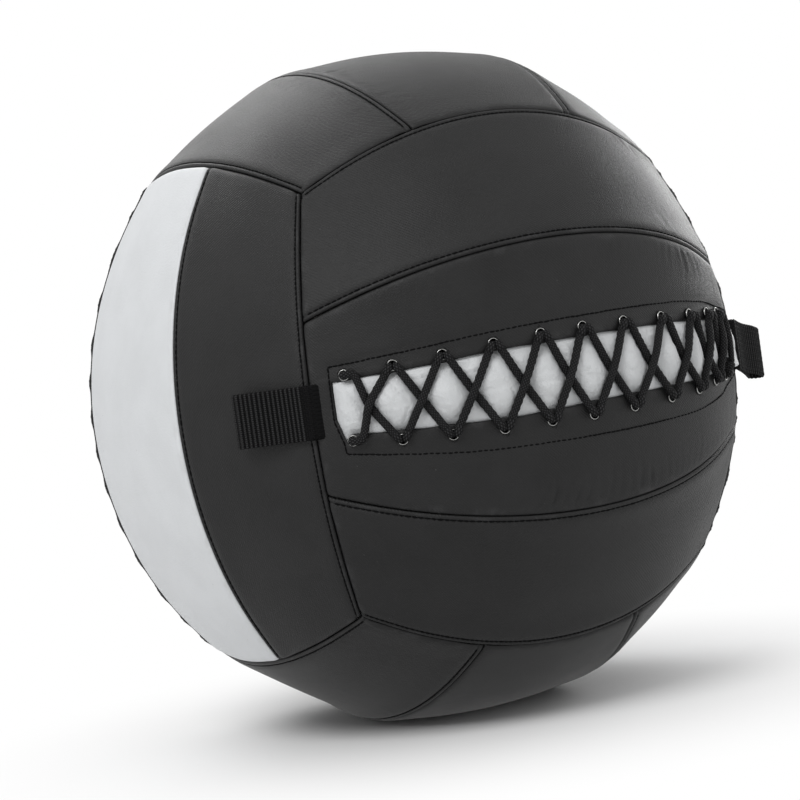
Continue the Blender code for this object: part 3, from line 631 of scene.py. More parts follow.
class SharedEffect:
    """A node group that several materials use. It is given a place, in millimetres."""

    def __init__(self, name: str, numbers: dict[str, float], outputs: Sequence[str]) -> None:
        """Make the empty group with its sockets.

        Args:
            name: The group's name.
            numbers: What else it is given, with usual values.
            outputs: The numbers that it puts out.
        """
        self.tree = bpy.data.node_groups.new(name, "ShaderNodeTree")
        interface = self.tree.interface
        interface.new_socket("Place", in_out="INPUT", socket_type="NodeSocketVector")
        for number, value in numbers.items():
            made = interface.new_socket(number, in_out="INPUT", socket_type="NodeSocketFloat")
            made.default_value = value
        for output in outputs:
            interface.new_socket(output, in_out="OUTPUT", socket_type="NodeSocketFloat")
        self.nodes = Nodes(self.tree)
        self.given = self.tree.nodes.new("NodeGroupInput").outputs
        self.put = self.tree.nodes.new("NodeGroupOutput").inputs

    def give(self, **values: NodeSocket) -> NodeTree:
        """Link the group's outputs and return its tree."""
        for name, value in values.items():
            self.tree.links.new(value, self.put[name])
        return self.tree


def grain_effect() -> NodeTree:
    """Make the grain of coated fabric: fine pebbles, and the slanting weave that shows through.

    Returns:
        A group that gives a height and a cloudy variation.
    """
    effect = SharedEffect(
        "coated_grain", {"Pebble Size": 0.9, "Weave Pitch": 1.6, "Weave Depth": 0.5},
        ("Height", "Variation"))
    nodes, given = effect.nodes, effect.given
    place, size = given["Place"], given["Pebble Size"]
    scaled = nodes.vector("DIVIDE", place,
                          nodes.add("ShaderNodeCombineXYZ", size, size, size).outputs[0])
    pebbles = nodes.add("ShaderNodeTexVoronoi", Vector=scaled, Scale=1.0,
                        feature="SMOOTH_F1").outputs["Distance"]
    rising, falling = (nodes.sine(slant, 2 * math.pi)
                       for slant in nodes.slants(place, given["Weave Pitch"]))
    broken = nodes.times(nodes.noise(place, 0.9, 2.0, 0.6), nodes.noise(place, 0.05, 2.0, 0.5))
    weave = nodes.times(nodes.plus(rising, nodes.times(falling, 0.3)),
                        nodes.times(given["Weave Depth"], broken))
    fine = nodes.noise(place, 2.6, 3.0, 0.6)
    height = nodes.plus(nodes.minus(fine, nodes.times(pebbles, 0.8)), nodes.times(weave, 1.4))
    return effect.give(Height=height, Variation=nodes.noise(place, 0.028, 4.0, 0.6))


def wear_and_shade_effect() -> NodeTree:
    """Make worn marks and painted shade: a rubbed band by each seam, shade in the crease, scuffs,
    specks of lint.

    Returns:
        A group that takes the distance from the seam in millimetres and gives a mask of each.
    """
    effect = SharedEffect("seam_wear_and_shade", {"Seam Distance": 0.0, "Reach": 6.0},
                          ("Rubbed", "Dust", "Scuffs", "Lint"))
    nodes, given = effect.nodes, effect.given
    place, near = given["Place"], given["Seam Distance"]
    band = nodes.minus(1.0, nodes.step(near, 1.0, given["Reach"]))
    patches = nodes.step(nodes.noise(place, 0.07, 4.0, 0.7), 0.48, 0.7)
    rubbed = nodes.times(band, patches, nodes.step(near, 0.3, 1.2))
    crease = nodes.minus(1.0, nodes.step(near, 0.1, 0.9))
    # Painted shade in the seam crease, mottled by noise.
    crease_shade = nodes.times(crease, nodes.noise(place, 0.5, 3.0, 0.6))
    streaks = nodes.noise(nodes.vector("MULTIPLY", place, (0.1, 1.3, 1.0)), 0.5, 5.0, 0.7)
    scuffs = nodes.times(nodes.step(streaks, 0.66, 0.78),
                         nodes.step(nodes.noise(place, 0.03, 2.0, 0.5), 0.5, 0.68))
    speck = nodes.add("ShaderNodeTexVoronoi", Vector=place, Scale=0.16, Randomness=1.0).outputs
    lint = nodes.times(nodes.minus(1.0, nodes.step(speck["Distance"], 0.03, 0.06)),
                       nodes.step(nodes.parts(speck["Color"])[0], 0.72, 0.95))
    return effect.give(Rubbed=rubbed, Dust=crease_shade, Scuffs=scuffs, Lint=lint)


def weave_effect() -> NodeTree:
    """Make a plain weave: threads along and across that pass over each other in turn.

    Returns:
        A group that gives a height and a mask of the threads.
    """
    effect = SharedEffect("plain_weave", {"Pitch Along": 0.6, "Pitch Across": 0.6},
                          ("Height", "Threads"))
    nodes, given = effect.nodes, effect.given
    along, across = (nodes.math("DIVIDE", part, given[name]) for part, name in zip(
        nodes.parts(given["Place"]), ("Pitch Along", "Pitch Across")))
    cell = nodes.plus(nodes.math("FLOOR", along), nodes.math("FLOOR", across))
    pick = nodes.math("ABSOLUTE", nodes.sine(cell, math.pi / 2))
    warp, weft = (nodes.sine(nodes.math("FRACT", way), math.pi) for way in (along, across))
    height = nodes.plus(nodes.times(warp, pick), nodes.times(weft, nodes.minus(1.0, pick)))
    return effect.give(Height=height, Threads=nodes.times(warp, weft))


def braid_effect() -> NodeTree:
    """Make a round braid: two sets of strands that wind opposite ways, over and under in turn.

    Returns:
        A group that takes a place along and round the cord and gives a height.
    """
    effect = SharedEffect("round_braid", {"Pitch": 2.1}, ("Height",))
    nodes, given = effect.nodes, effect.given
    strands = (nodes.math("ABSOLUTE", nodes.sine(slant, math.pi))
               for slant in nodes.slants(given["Place"], given["Pitch"]))
    return effect.give(Height=nodes.times(*strands))


class Effects:
    """The shared node groups, each made once."""

    def __init__(self) -> None:
        """Make the groups."""
        self.grain = grain_effect()
        self.wear_and_shade = wear_and_shade_effect()
        self.weave = weave_effect()
        self.braid = braid_effect()


@dataclass(frozen=True)
class Look:
    """What a finish puts into its shader.

    Attributes:
        colour: Its colour.
        roughness: How matt it is.
        height: Its relief, from 0 to 1.
        normal: Normals of the coarser relief that this one lies on.
    """

    colour: NodeSocket
    roughness: NodeSocket
    height: NodeSocket
    normal: NodeSocket | None = None


@dataclass(frozen=True)
class Finish:
    """What every finish of the ball has.

    Attributes:
        name: The material's name.
        colour: Its colour.
        other: Its colour where it is worn, its painted shade, or its painted highlight on top of its
            yarns.
        roughness: How matt it is.
        depth: Depth of its relief, in metres.
        constants: Values of the shader's own inputs, by name.
    """

    name: str
    colour: Triple
    other: Triple
    roughness: float
    depth: float
    constants: dict[str, float] = field(default_factory=dict)

    def look(self, nodes: Nodes, effects: Effects) -> Look:
        """Lay out the finish's own nodes.

        Args:
            nodes: The material's nodes.
            effects: The shared groups.

        Returns:
            What goes into the shader.
        """
        raise NotImplementedError

    def matt(self, nodes: Nodes, share: NodeSocket,
             spread: float) -> NodeSocket:
        """Return a roughness that varies by a spread to each side."""
        return nodes.between(share, self.roughness - spread, self.roughness + spread)

    def material(self, effects: Effects) -> Material:
        """Make the material."""
        material = bpy.data.materials.new(self.name)
        material.use_nodes = True
        nodes = Nodes(material.node_tree)
        shader = material.node_tree.nodes["Principled BSDF"]
        look = self.look(nodes, effects)
        bump = nodes.add("ShaderNodeBump", Strength=1.0, Distance=self.depth, Height=look.height)
        if look.normal is not None:
            nodes.feed(bump.inputs["Normal"], look.normal)
        for name, value in (("Base Color", look.colour), ("Roughness", look.roughness),
                            ("Normal", bump.outputs["Normal"]), *self.constants.items()):
            nodes.feed(shader.inputs[name], value)
        return material


@dataclass(frozen=True)
class CoatedFabric(Finish):
    """Coated fabric of the shell, its other colour where it is rubbed.

    Attributes:
        cloud: How far its colour varies in soft clouds, as a share.
    """

    cloud: float = 0.16

    def look(self, nodes: Nodes, effects: Effects) -> Look:
        """Lay grain, and over it the worn marks, and painted shade in the seam crease and the stitch
        groove.
        """
        place = nodes.flat_place()
        grain = nodes.group(effects.grain, Place=place)
        wear_and_shade = nodes.group(effects.wear_and_shade, Place=place,
                           Seam_Distance=nodes.times(nodes.mark("seam"), 1 / MM))
        dim, light = (tuple(value * share for value in self.colour)
                      for share in (1 - self.cloud, 1 + self.cloud))
        base = nodes.colour(nodes.step(grain["Variation"], 0.3, 0.7), dim, light)
        # Colour of painted shade, laid in the seam crease and the topstitch groove.
        crease = tuple(value * 0.3 for value in self.colour)
        lint = tuple(value * 0.5 + 0.06 for value in self.other)
        # Rubbed, scuffs and lint are real marks; the crease and groove entries are painted shade.
        for mask, share, over in (
                (wear_and_shade["Rubbed"], 0.5, self.other), (wear_and_shade["Scuffs"], 0.25, self.other),
                (wear_and_shade["Dust"], 1.0, crease), (nodes.mark("groove"), 0.45, crease),
                (wear_and_shade["Lint"], 0.6, lint)):
            base = nodes.colour(nodes.times(mask, share), base, over)
        rough = nodes.plus(self.matt(nodes, grain["Variation"], 0.06),
                           nodes.times(wear_and_shade["Scuffs"], 0.14))
        return Look(base, rough, grain["Height"])


@dataclass(frozen=True)
class WovenCloth(Finish):
    """Woven cloth of tongue, liner or pouch, its other colour painted shade between the threads.

    Attributes:
        pitch: Distance between threads, in millimetres.
        crumple: Depth of its fine creases, in metres.
    """

    pitch: float = 0.4
    crumple: float = 0.0

    def look(self, nodes: Nodes, effects: Effects) -> Look:
        """Lay the weave over the creases."""
        place = nodes.flat_place()
        weave = nodes.group(effects.weave, Place=place, Pitch_Along=self.pitch,
                            Pitch_Across=self.pitch)
        cloudy = nodes.noise(place, 0.06, 4.0, 0.6)
        # Painted shade between the threads, mixed with a random cloudy tone.
        share = nodes.math("MULTIPLY_ADD", weave["Threads"], 0.6, nodes.times(cloudy, 0.7),
                           clamp=True)
        creases = nodes.math("ABSOLUTE", nodes.minus(nodes.noise(place, 0.16, 5.0, 0.62), 0.5))
        fine = nodes.times(nodes.noise(place, 0.9, 4.0, 0.7), 0.12)
        folds = nodes.add("ShaderNodeBump", Strength=1.0, Distance=self.crumple,
                          Height=nodes.plus(creases, fine))
        return Look(nodes.colour(share, self.other, self.colour), self.matt(nodes, cloudy, 0.07),
                    weave["Height"], folds.outputs["Normal"])


@dataclass(frozen=True)
class BraidedCord(Finish):
    """Braided cord of the lace, its other colour a painted highlight on top of its strands.

    Attributes:
        pitch: Distance between strands, in millimetres.
    """

    pitch: float = 1.7

    def look(self, nodes: Nodes, effects: Effects) -> Look:
        """Lay the braid with its fuzz."""
        place = nodes.flat_place()
        braid = nodes.group(effects.braid, Place=place, Pitch=self.pitch)["Height"]
        fuzz = nodes.noise(place, 5.0, 2.0, 0.6)
        # Painted highlight: lighter on top of the braid strands.
        share = nodes.times(nodes.math("POWER", braid, 2.0), nodes.between(fuzz, 0.4, 1.2))
        return Look(nodes.colour(share, self.colour, self.other), self.matt(nodes, fuzz, 0.1),
                    nodes.plus(braid, nodes.times(fuzz, 0.15)))


@dataclass(frozen=True)
class Webbing(Finish):
    """Ribbed webbing of the loops, its other colour a painted highlight on top of its ribs.

    Attributes:
        rib: Distance between ribs, in millimetres.
    """

    rib: float = 2.3

    def look(self, nodes: Nodes, effects: Effects) -> Look:
        """Lay the yarns, with a painted highlight where the ribs stand up."""
        place = nodes.flat_place()
        yarns = nodes.group(effects.weave, Place=place, Pitch_Along=self.rib / 2,
                            Pitch_Across=1.0)
        fuzz = nodes.noise(place, 4.0, 3.0, 0.6)
        # Painted highlight on the rib tops.
        lit = nodes.times(nodes.math("POWER", nodes.mark("rib"), 5.0),
                          nodes.between(yarns["Threads"], 0.08, 1.1))
        share = nodes.math("MULTIPLY", lit, nodes.between(fuzz, 0.5, 1.1), clamp=True)
        return Look(nodes.colour(share, self.colour, self.other), self.matt(nodes, fuzz, 0.08),
                    nodes.plus(yarns["Height"], nodes.times(fuzz, 0.3)))


@dataclass(frozen=True)
class TwistedThread(Finish):
    """Sewing thread, its other colour a painted highlight on top of its twist.

    Attributes:
        pitch: Length of its twist, in millimetres.
    """

    pitch: float = 0.7

    def look(self, nodes: Nodes, effects: Effects) -> Look:
        """Lay the twist."""
        place = nodes.flat_place()
        along, across = nodes.parts(place)[:2]
        twist = nodes.math("ABSOLUTE", nodes.sine(nodes.plus(along, across),
                                                  math.pi / self.pitch))
        fuzz = nodes.noise(place, 3.0, 2.0, 0.6)
        # Painted highlight: lighter on top of the twist.
        return Look(nodes.colour(nodes.times(twist, fuzz), self.colour, self.other),
                    self.matt(nodes, fuzz, 0.1), twist)


@dataclass(frozen=True)
class PlatedMetal(Finish):
    """Bright plated metal of the eyelets, its other colour where it has dulled."""

    def look(self, nodes: Nodes, effects: Effects) -> Look:
        """Lay dull spots and fine marks."""
        place = nodes.solid_place()
        spots = nodes.step(nodes.noise(place, 0.8, 4.0, 0.7), 0.45, 0.75)
        marks = nodes.noise(nodes.vector("MULTIPLY", place, (1.0, 1.0, 6.0)), 4.0, 3.0, 0.7)
        rough = nodes.math("MULTIPLY_ADD", spots, 0.2,
                           nodes.math("MULTIPLY_ADD", marks, 0.08, self.roughness))
        return Look(nodes.colour(spots, self.colour, self.other), rough, marks)


@dataclass(frozen=True)
class LooseFibre(Finish):
    """Shredded fibre of the filling, its other colour painted shade in its hollows."""

    def look(self, nodes: Nodes, effects: Effects) -> Look:
        """Lay tufts and strands."""
        place = nodes.solid_place()
        tufts = nodes.noise(place, 0.12, 8.0, 0.75)
        strands = nodes.noise(nodes.vector("MULTIPLY", place, (1.0, 0.15, 1.0)), 1.4, 4.0, 0.7)
        # Painted shade: darker in the hollows between tufts.
        return Look(nodes.colour(tufts, self.other, self.colour), self.matt(nodes, strands, 0.05),
                    nodes.plus(tufts, nodes.times(strands, 0.5)))


class Wardrobe:
    """Every finish of the ball as a material, made once."""

    def __init__(self) -> None:
        """Make the materials."""
        effects = Effects()
        gloss = "Specular IOR Level"
        # Black fabric: its crease and stitch groove get painted shade at three tenths of this
        # colour; its lighter colour is worn.
        self.black = CoatedFabric("black_coated_fabric", (0.0125, 0.0125, 0.0127),
                                  (0.045, 0.045, 0.046), 0.45, 0.00018,
                                  {gloss: 0.22}).material(effects)
        # Silver fabric: its seam crease gets painted shade at three tenths of this colour; its
        # darker colour is worn.
        self.silver = CoatedFabric("silver_coated_fabric", (0.66, 0.675, 0.69),
                                   (0.53, 0.53, 0.54), 0.5, 0.00012,
                                   {gloss: 0.25, "Metallic": 0.1}, cloud=0.03).material(effects)
        # Tongue: its darker colour is painted shade between the threads, with a random cloudy tone.
        self.tongue = WovenCloth("silver_tongue_fabric", (0.68, 0.695, 0.705), (0.5, 0.51, 0.52),
                                 0.42, 0.00003, {"Sheen Weight": 0.2},
                                 crumple=0.0014).material(effects)
        # Cord: its lighter colour is a painted highlight on top of the braid strands.
        self.cord = BraidedCord("black_braided_cord", (0.002, 0.002, 0.0022),
                                (0.055, 0.055, 0.057), 0.6, 0.0004,
                                {gloss: 0.12}).material(effects)
        # Webbing: its lighter colour is a painted highlight on the rib tops.
        self.webbing = Webbing("black_webbing", (0.001, 0.001, 0.0012), (0.15, 0.15, 0.153), 0.7,
                               0.0004, {gloss: 0.12}).material(effects)
        # Thread: its lighter colour is a painted highlight on top of the twist.
        self.thread = TwistedThread("black_thread", (0.0012, 0.0012, 0.0013),
                                    (0.008, 0.008, 0.0085), 0.7, 0.00008,
                                    {gloss: 0.06}).material(effects)
        self.metal = PlatedMetal("eyelet_nickel", (0.4, 0.4, 0.39), (0.12, 0.118, 0.115), 0.22,
                                 0.00001, {"Metallic": 1.0}).material(effects)
        # Canvas and pouch: their darker colours are painted shade between the threads, with random
        # cloudy tone.
        self.canvas = WovenCloth("liner_canvas", (0.6, 0.57, 0.5), (0.36, 0.34, 0.3), 0.9, 0.0002,
                                 pitch=0.9).material(effects)
        self.pouch = WovenCloth("pouch_canvas", (0.24, 0.24, 0.26), (0.12, 0.12, 0.13), 0.9,
                                0.0003, pitch=1.2).material(effects)
        # Fibre: its darker colour is painted shade in its hollows.
        self.fibre = LooseFibre("fibre_fill", (0.62, 0.6, 0.56), (0.3, 0.29, 0.27), 0.95,
                                0.004).material(effects)


# Panels


@dataclass(frozen=True)
class SeamProfile:
    """Height of a panel's face beside a seam, by the distance from the seam, in metres."""

    distances: tuple[float, ...]
    heights: tuple[float, ...]

    def height(self, distance: Array) -> Array:
        """Return the heights at distances."""
        return np.interp(distance, self.distances, self.heights)


@dataclass(frozen=True)
class Ridge:
    """A soft ridge or groove that runs beside a seam or an edge.

    Attributes:
        rise: Its height, below zero for a groove.
        place: Distance of its middle from the seam or edge.
        spread: How far it runs to each side.
    """

    rise: float
    place: float
    spread: float

    def height(self, distance: Array) -> Array:
        """Return the heights at distances."""
        return self.rise * np.exp(-((distance - self.place) / self.spread) ** 2)


PLAIN_SEAM = SeamProfile(
    (0.0, 0.0004, 0.0009, 0.0016, 0.0026, 0.004, 0.006, 0.009, 0.014, 0.022),
    (-0.0013, -0.0005, 0.0, 0.0003, 0.00045, 0.0005, 0.00045, 0.0003, 0.0001, 0.0),
)
TOPSTITCHED_SEAM = SeamProfile(
    (0.0, 0.0004, 0.0008, 0.0013, 0.0019, 0.0024, 0.0028, 0.0032, 0.0038, 0.005, 0.007, 0.010,
     0.015, 0.022),
    (-0.0013, -0.0004, 0.0002, 0.0005, 0.00045, 0.00015, -0.0001, 0.0001, 0.0004, 0.00065,
     0.00065, 0.00045, 0.00015, 0.0),
)
# Distances from a seam at which a panel's mesh has rows
EDGE_STEPS = (0.00012, 0.0004, 0.0008, 0.0013, 0.0019, 0.0024, 0.0028, 0.0032, 0.0038, 0.005,
              0.007, 0.010)


@dataclass(frozen=True)
class Pucker:
    """A place on a seam where the fabric is gathered.

    Attributes:
        side: Number of the seam: low, high, start or end.
        middle: Share of the seam's length at which it lies.
        spread: Half its length, as a share.
        strength: How deep its folds are, as a multiple of the usual depth.
    """

    side: int
    middle: float
    spread: float
    strength: float


PUCKERS: dict[str, tuple[Pucker, ...]] = {
    "top_middle_panel": (Pucker(0, 0.28, 0.1, 2.2), Pucker(0, 0.1, 0.06, 1.2),
                         Pucker(0, 0.75, 0.2, 1.0)),
    "top_left_panel": (Pucker(1, 0.12, 0.09, 1.4), Pucker(1, 0.35, 0.1, 0.7)),
    "front_upper_panel": (Pucker(1, 0.88, 0.08, 2.2), Pucker(0, 0.82, 0.08, 1.0)),
    "front_laced_panel": (Pucker(0, 0.44, 0.08, 4.4), Pucker(0, 0.62, 0.04, 2.0),
                          Pucker(1, 0.82, 0.06, 2.4)),
    "front_lower_panel": (Pucker(1, 0.55, 0.15, 0.6),),
    "right_front_panel": (Pucker(0, 0.75, 0.15, 1.4),),
    "left_middle_panel": (Pucker(0, 0.5, 0.3, 0.3), Pucker(1, 0.4, 0.3, 0.5)),
}

# Panels with a scalloped rim, each with the number of its seam, and those that a loop presses
RIMS = {"left_back_panel": 0, "right_front_panel": 0}
PRESSED = {"right_front_panel"}


@dataclass(frozen=True)
class PanelShape:
    """The real face of one panel: the stretched strip with its seams, gathers and hollows.

    Attributes:
        face: The face that it belongs to.
        strip: Its number there.
        gather_depth: Usual depth of the gathers beside a seam.
        gather_pitch: Usual distance between gathers.
        gather_reach: How far they run into the panel.
        gather_start: Distance from the seam at which they start.
        gather_rise: Distance over which they then reach their depth.
        gather_patch: Length over which they grow stronger and weaker.
        gather_sway: Lengths over which they sway, along the seam and away from it.
        gather_waver: The same for their small wavering.
        hollow_depth: Depth of the wide soft hollows.
        hollow_size: Width of those.
        hollow_fade: Distance from the seams over which they start.
        scallop_pitch: Distance between the scallops of a rim that stands proud.
        scallop_patch: Length over which that distance varies.
        rim: Section of such a rim.
        pressed_half: Half the length over which a loop presses a rim down.
        pressed_fade: Length over which that ends.
        pressed: Section of the dent there.
    """

    face: Face
    strip: int
    gather_depth: float = 0.0005
    gather_pitch: float = 0.0066
    gather_reach: float = 0.0065
    gather_start: float = 0.002
    gather_rise: float = 0.005
    gather_patch: float = 0.04
    gather_sway: Pair = (0.03, 0.013)
    gather_waver: Pair = (0.004, 0.006)
    hollow_depth: float = 0.0007
    hollow_size: float = 0.07
    hollow_fade: float = 0.02
    scallop_pitch: float = 0.019
    scallop_patch: float = 0.033
    rim: Ridge = Ridge(0.0006, 0.0022, 0.003)
    pressed_half: float = 0.015
    pressed_fade: float = 0.008
    pressed: Ridge = Ridge(-0.0007, 0.0045, 0.0045)

    @property
    def name(self) -> str:
        """Return the panel's name."""
        return LAYOUTS[self.face].strips[self.strip]

    @cached_property
    def length(self) -> float:
        """Return the panel's length."""
        return SHELL.length(self.face, self.strip)

    @property
    def seed(self) -> float:
        """Return a number that is the panel's own."""
        return 10.0 * list(Face).index(self.face) + 3.0 * self.strip + 1.0

    @property
    def topstitched(self) -> bool:
        """Return whether its long edges are topstitched: side strips are, middle strips aren't."""
        return self.strip != 1

    def width(self, along: Array) -> Array:
        """Return the panel's widths at lengths along it."""
        return SHELL.width(self.face, self.strip, np.asarray(along) / self.length)

    def distances(self, along: Array, across: Array) -> list[Array]:
        """Return the distances from the four seams: low, high, start and end."""
        return [across, self.width(along) - across, along, self.length - along]

    def heights(self, along: Array, across: Array) -> Array:
        """Return how high the real face stands over the stretched strip."""
        near = self.distances(along, across)
        total = self.scallops(along, near)
        for side, distance in enumerate(near):
            profile = TOPSTITCHED_SEAM if self.topstitched and side < 2 else PLAIN_SEAM
            total = total + profile.height(distance) + self.gathers(side, distance, along, across)
        hollow = soft_noise(along / self.hollow_size, across / self.hollow_size, self.seed)
        fade = eased(np.minimum.reduce(near) / self.hollow_fade)
        return np.maximum(total + self.hollow_depth * hollow * fade, PLAIN_SEAM.heights[0] * 1.3)

    def scallops(self, along: Array, near: Sequence[Array]) -> Array:
        """Return the heights of the scallops in which some edges stand proud."""
        side = RIMS.get(self.name)
        if side is None:
            return np.zeros(np.broadcast(along, near[0]).shape)
        turn = along / self.scallop_pitch
        turn = turn + 0.8 * soft_noise(along / self.scallop_patch, along * 0, self.seed)
        wave = np.maximum(np.sin(2 * math.pi * turn), -0.3) + 0.3
        heights = wave * self.rim.height(near[side])
        if self.name not in PRESSED:
            return heights
        beyond = np.abs(along - self.length / 2) - self.pressed_half
        share = 1 - eased(beyond / self.pressed_fade)
        return heights * (1 - share) + self.pressed.height(near[side]) * share

    def gathers(self, side: int, distance: Array, along: Array, across: Array) -> Array:
        """Return the heights of the small folds that run into the panel from one seam."""
        place = along if side < 2 else across
        total = self.length if side < 2 else self.width(along)
        share = place / total
        seed = self.seed + 7.3 * side
        strength = 0.4 + 0.5 * soft_noise(place / self.gather_patch, place * 0, seed + 5)
        for pucker in PUCKERS.get(self.name, ()):
            if pucker.side == side:
                gap = (share - pucker.middle) / pucker.spread
                strength = strength + pucker.strength * np.exp(-gap ** 2)
        spot = place / self.gather_pitch
        for pitch, size, more in ((self.gather_sway, 1.1, 0), (self.gather_waver, 0.12, 1)):
            spot = spot + size * soft_noise(place / pitch[0], distance / pitch[1], seed + more)
        valley = np.exp(-(np.sin(math.pi * spot) / 0.42) ** 2)
        uneven = 0.6 + 0.4 * soft_noise(np.round(spot) * 1.7, spot * 0, seed + 3)
        reach = self.gather_reach * (0.4 + uneven)
        fade = np.exp(-np.maximum(distance - 2 * self.gather_start, 0) / reach)
        fade = fade * eased((distance - self.gather_start) / self.gather_rise)
        return -self.gather_depth * np.maximum(strength, 0) * uneven * fade * (valley - 0.25)

    def surface(self, along: Array, across: Array, lift: Array | float = 0.0) -> tuple[Array, Array]:
        """Return places on the real face, or lifted from it, and the strip's normals there."""
        along, across = np.broadcast_arrays(along, across)
        height = self.heights(along, across) + lift
        points, normals, _ = SHELL.place(self.face, self.strip, along, across, height)
        return points, normals


@dataclass
class Panel:
    """One sewn panel of the shell with its topstitching.

    Attributes:
        shape: Its real face.
        thickness: Thickness of the coated fabric.
        column_pitch: Distance between columns of its mesh.
        middle_rows: Rows between the fine ones beside its seams.
    """

    shape: PanelShape
    thickness: float = 0.0018
    column_pitch: float = 0.0026
    middle_rows: int = 22

    def build(self, wardrobe: Wardrobe) -> list[Object]:
        """Build and dress the panel.

        Args:
            wardrobe: The materials.

        Returns:
            The panel and its topstitching.
        """
        shape = self.shape
        middle = round(shape.length / self.column_pitch)
        along = ladder(EDGE_STEPS, EDGE_STEPS, np.array([shape.length]), middle)[0]
        across = ladder(EDGE_STEPS, EDGE_STEPS, shape.width(along), self.middle_rows)
        along = np.broadcast_to(along[:, None], across.shape)
        points, _ = shape.surface(along, across)
        seam = np.minimum.reduce(shape.distances(along, across))
        low, high = shape.distances(along, across)[:2]
        # Mask of painted shade along the topstitch row, where the thread sinks into the fabric.
        groove = eased(1 - np.abs(np.minimum(low, high) - Topstitch.inset) / Topstitch.groove)
        groove = groove * shape.topstitched
        flat = np.stack((along, across - shape.width(along) / 2), -1)
        normal, way, side = LAYOUTS[shape.face].axes()
        flip = np.dot(np.cross(way, side), normal) < 0
        marks = {"seam": seam, "groove": groove}
        cloth = Cloth.grid(points, flat, marks, flip=bool(flip))
        silver = shape.strip == 1 and shape.face in (Face.LEFT, Face.RIGHT)
        piece = cloth.piece(shape.name + "_cover", wardrobe.silver if silver else wardrobe.black)
        thickened(piece, self.thickness)
        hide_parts(shape.name)
        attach(piece, "ball")
        pieces = [piece]
        if shape.topstitched:
            pieces.append(Topstitch().along_seams(shape, wardrobe))
        return pieces


@dataclass
class Topstitch:
    """A row of stitches: one thread that runs over the fabric and dips at each hole.

    Attributes:
        inset: Distance from the seam.
        groove: Half the width of the painted shade along its groove on the panel.
        pitch: Distance between holes.
        radius: The thread's radius.
        over: Height of its middle over the fabric along a stitch.
        dip: Depth of its middle at a hole.
        wobble: How far it strays to each side.
        uneven: How far a hole strays along the row, as a share of a stitch.
        phases: Places of its points within a stitch, as shares.
        lifts: How far over each point is, from dip to over.
    """

    inset: float = 0.0028
    groove: float = 0.0006
    pitch: float = 0.0029
    radius: float = 0.0004
    over: float = 0.00028
    dip: float = 0.001
    wobble: float = 0.00014
    uneven: float = 0.16
    phases: tuple[float, ...] = (0.0, 0.12, 0.35, 0.65, 0.88)
    lifts: tuple[float, ...] = (0.0, 0.75, 1.0, 1.0, 0.75)

    def thread(self, shape: PanelShape, path: Array) -> Cloth:
        """Sew one row.

        Args:
            shape: The panel that it is sewn on.
            path: Lengths along and across that the row follows.

        Returns:
            The thread.
        """
        lengths = travelled(path)
        stitches = round(lengths[-1] / self.pitch)
        holes = np.arange(stitches + 1.0)
        holes[1:-1] += self.uneven * soft_noise(holes[1:-1] * 1.9, holes[1:-1] * 0, shape.seed + 7)
        places = holes[:-1, None] + np.diff(holes)[:, None] * np.array(self.phases)
        wanted = np.append(places, stitches) / stitches * lengths[-1]
        lifts = np.append(np.tile(self.lifts, stitches), self.lifts[0])
        along = np.interp(wanted, lengths, path[:, 0])
        across = np.interp(wanted, lengths, path[:, 1])
        across = across + self.wobble * soft_noise(wanted / 0.003, wanted * 0, shape.seed + 9)
        lift = -self.dip + (self.dip + self.over) * lifts
        points, _ = shape.surface(along, across, lift)
        return tube(points, np.full(len(points), self.radius), 5)

    def along_seams(self, shape: PanelShape, wardrobe: Wardrobe) -> Object:
        """Sew the rows beside both long seams of a panel."""
        along = np.linspace(self.inset, shape.length - self.inset, 120)
        rows = []
        for high in (False, True):
            across = shape.width(along) - self.inset if high else np.full(len(along), self.inset)
            rows.append(self.thread(shape, np.stack((along, across), 1)))
        piece = joined(rows).piece(shape.name + "_topstitch", wardrobe.thread)
        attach(piece, "ball")
        return piece


# Lacing


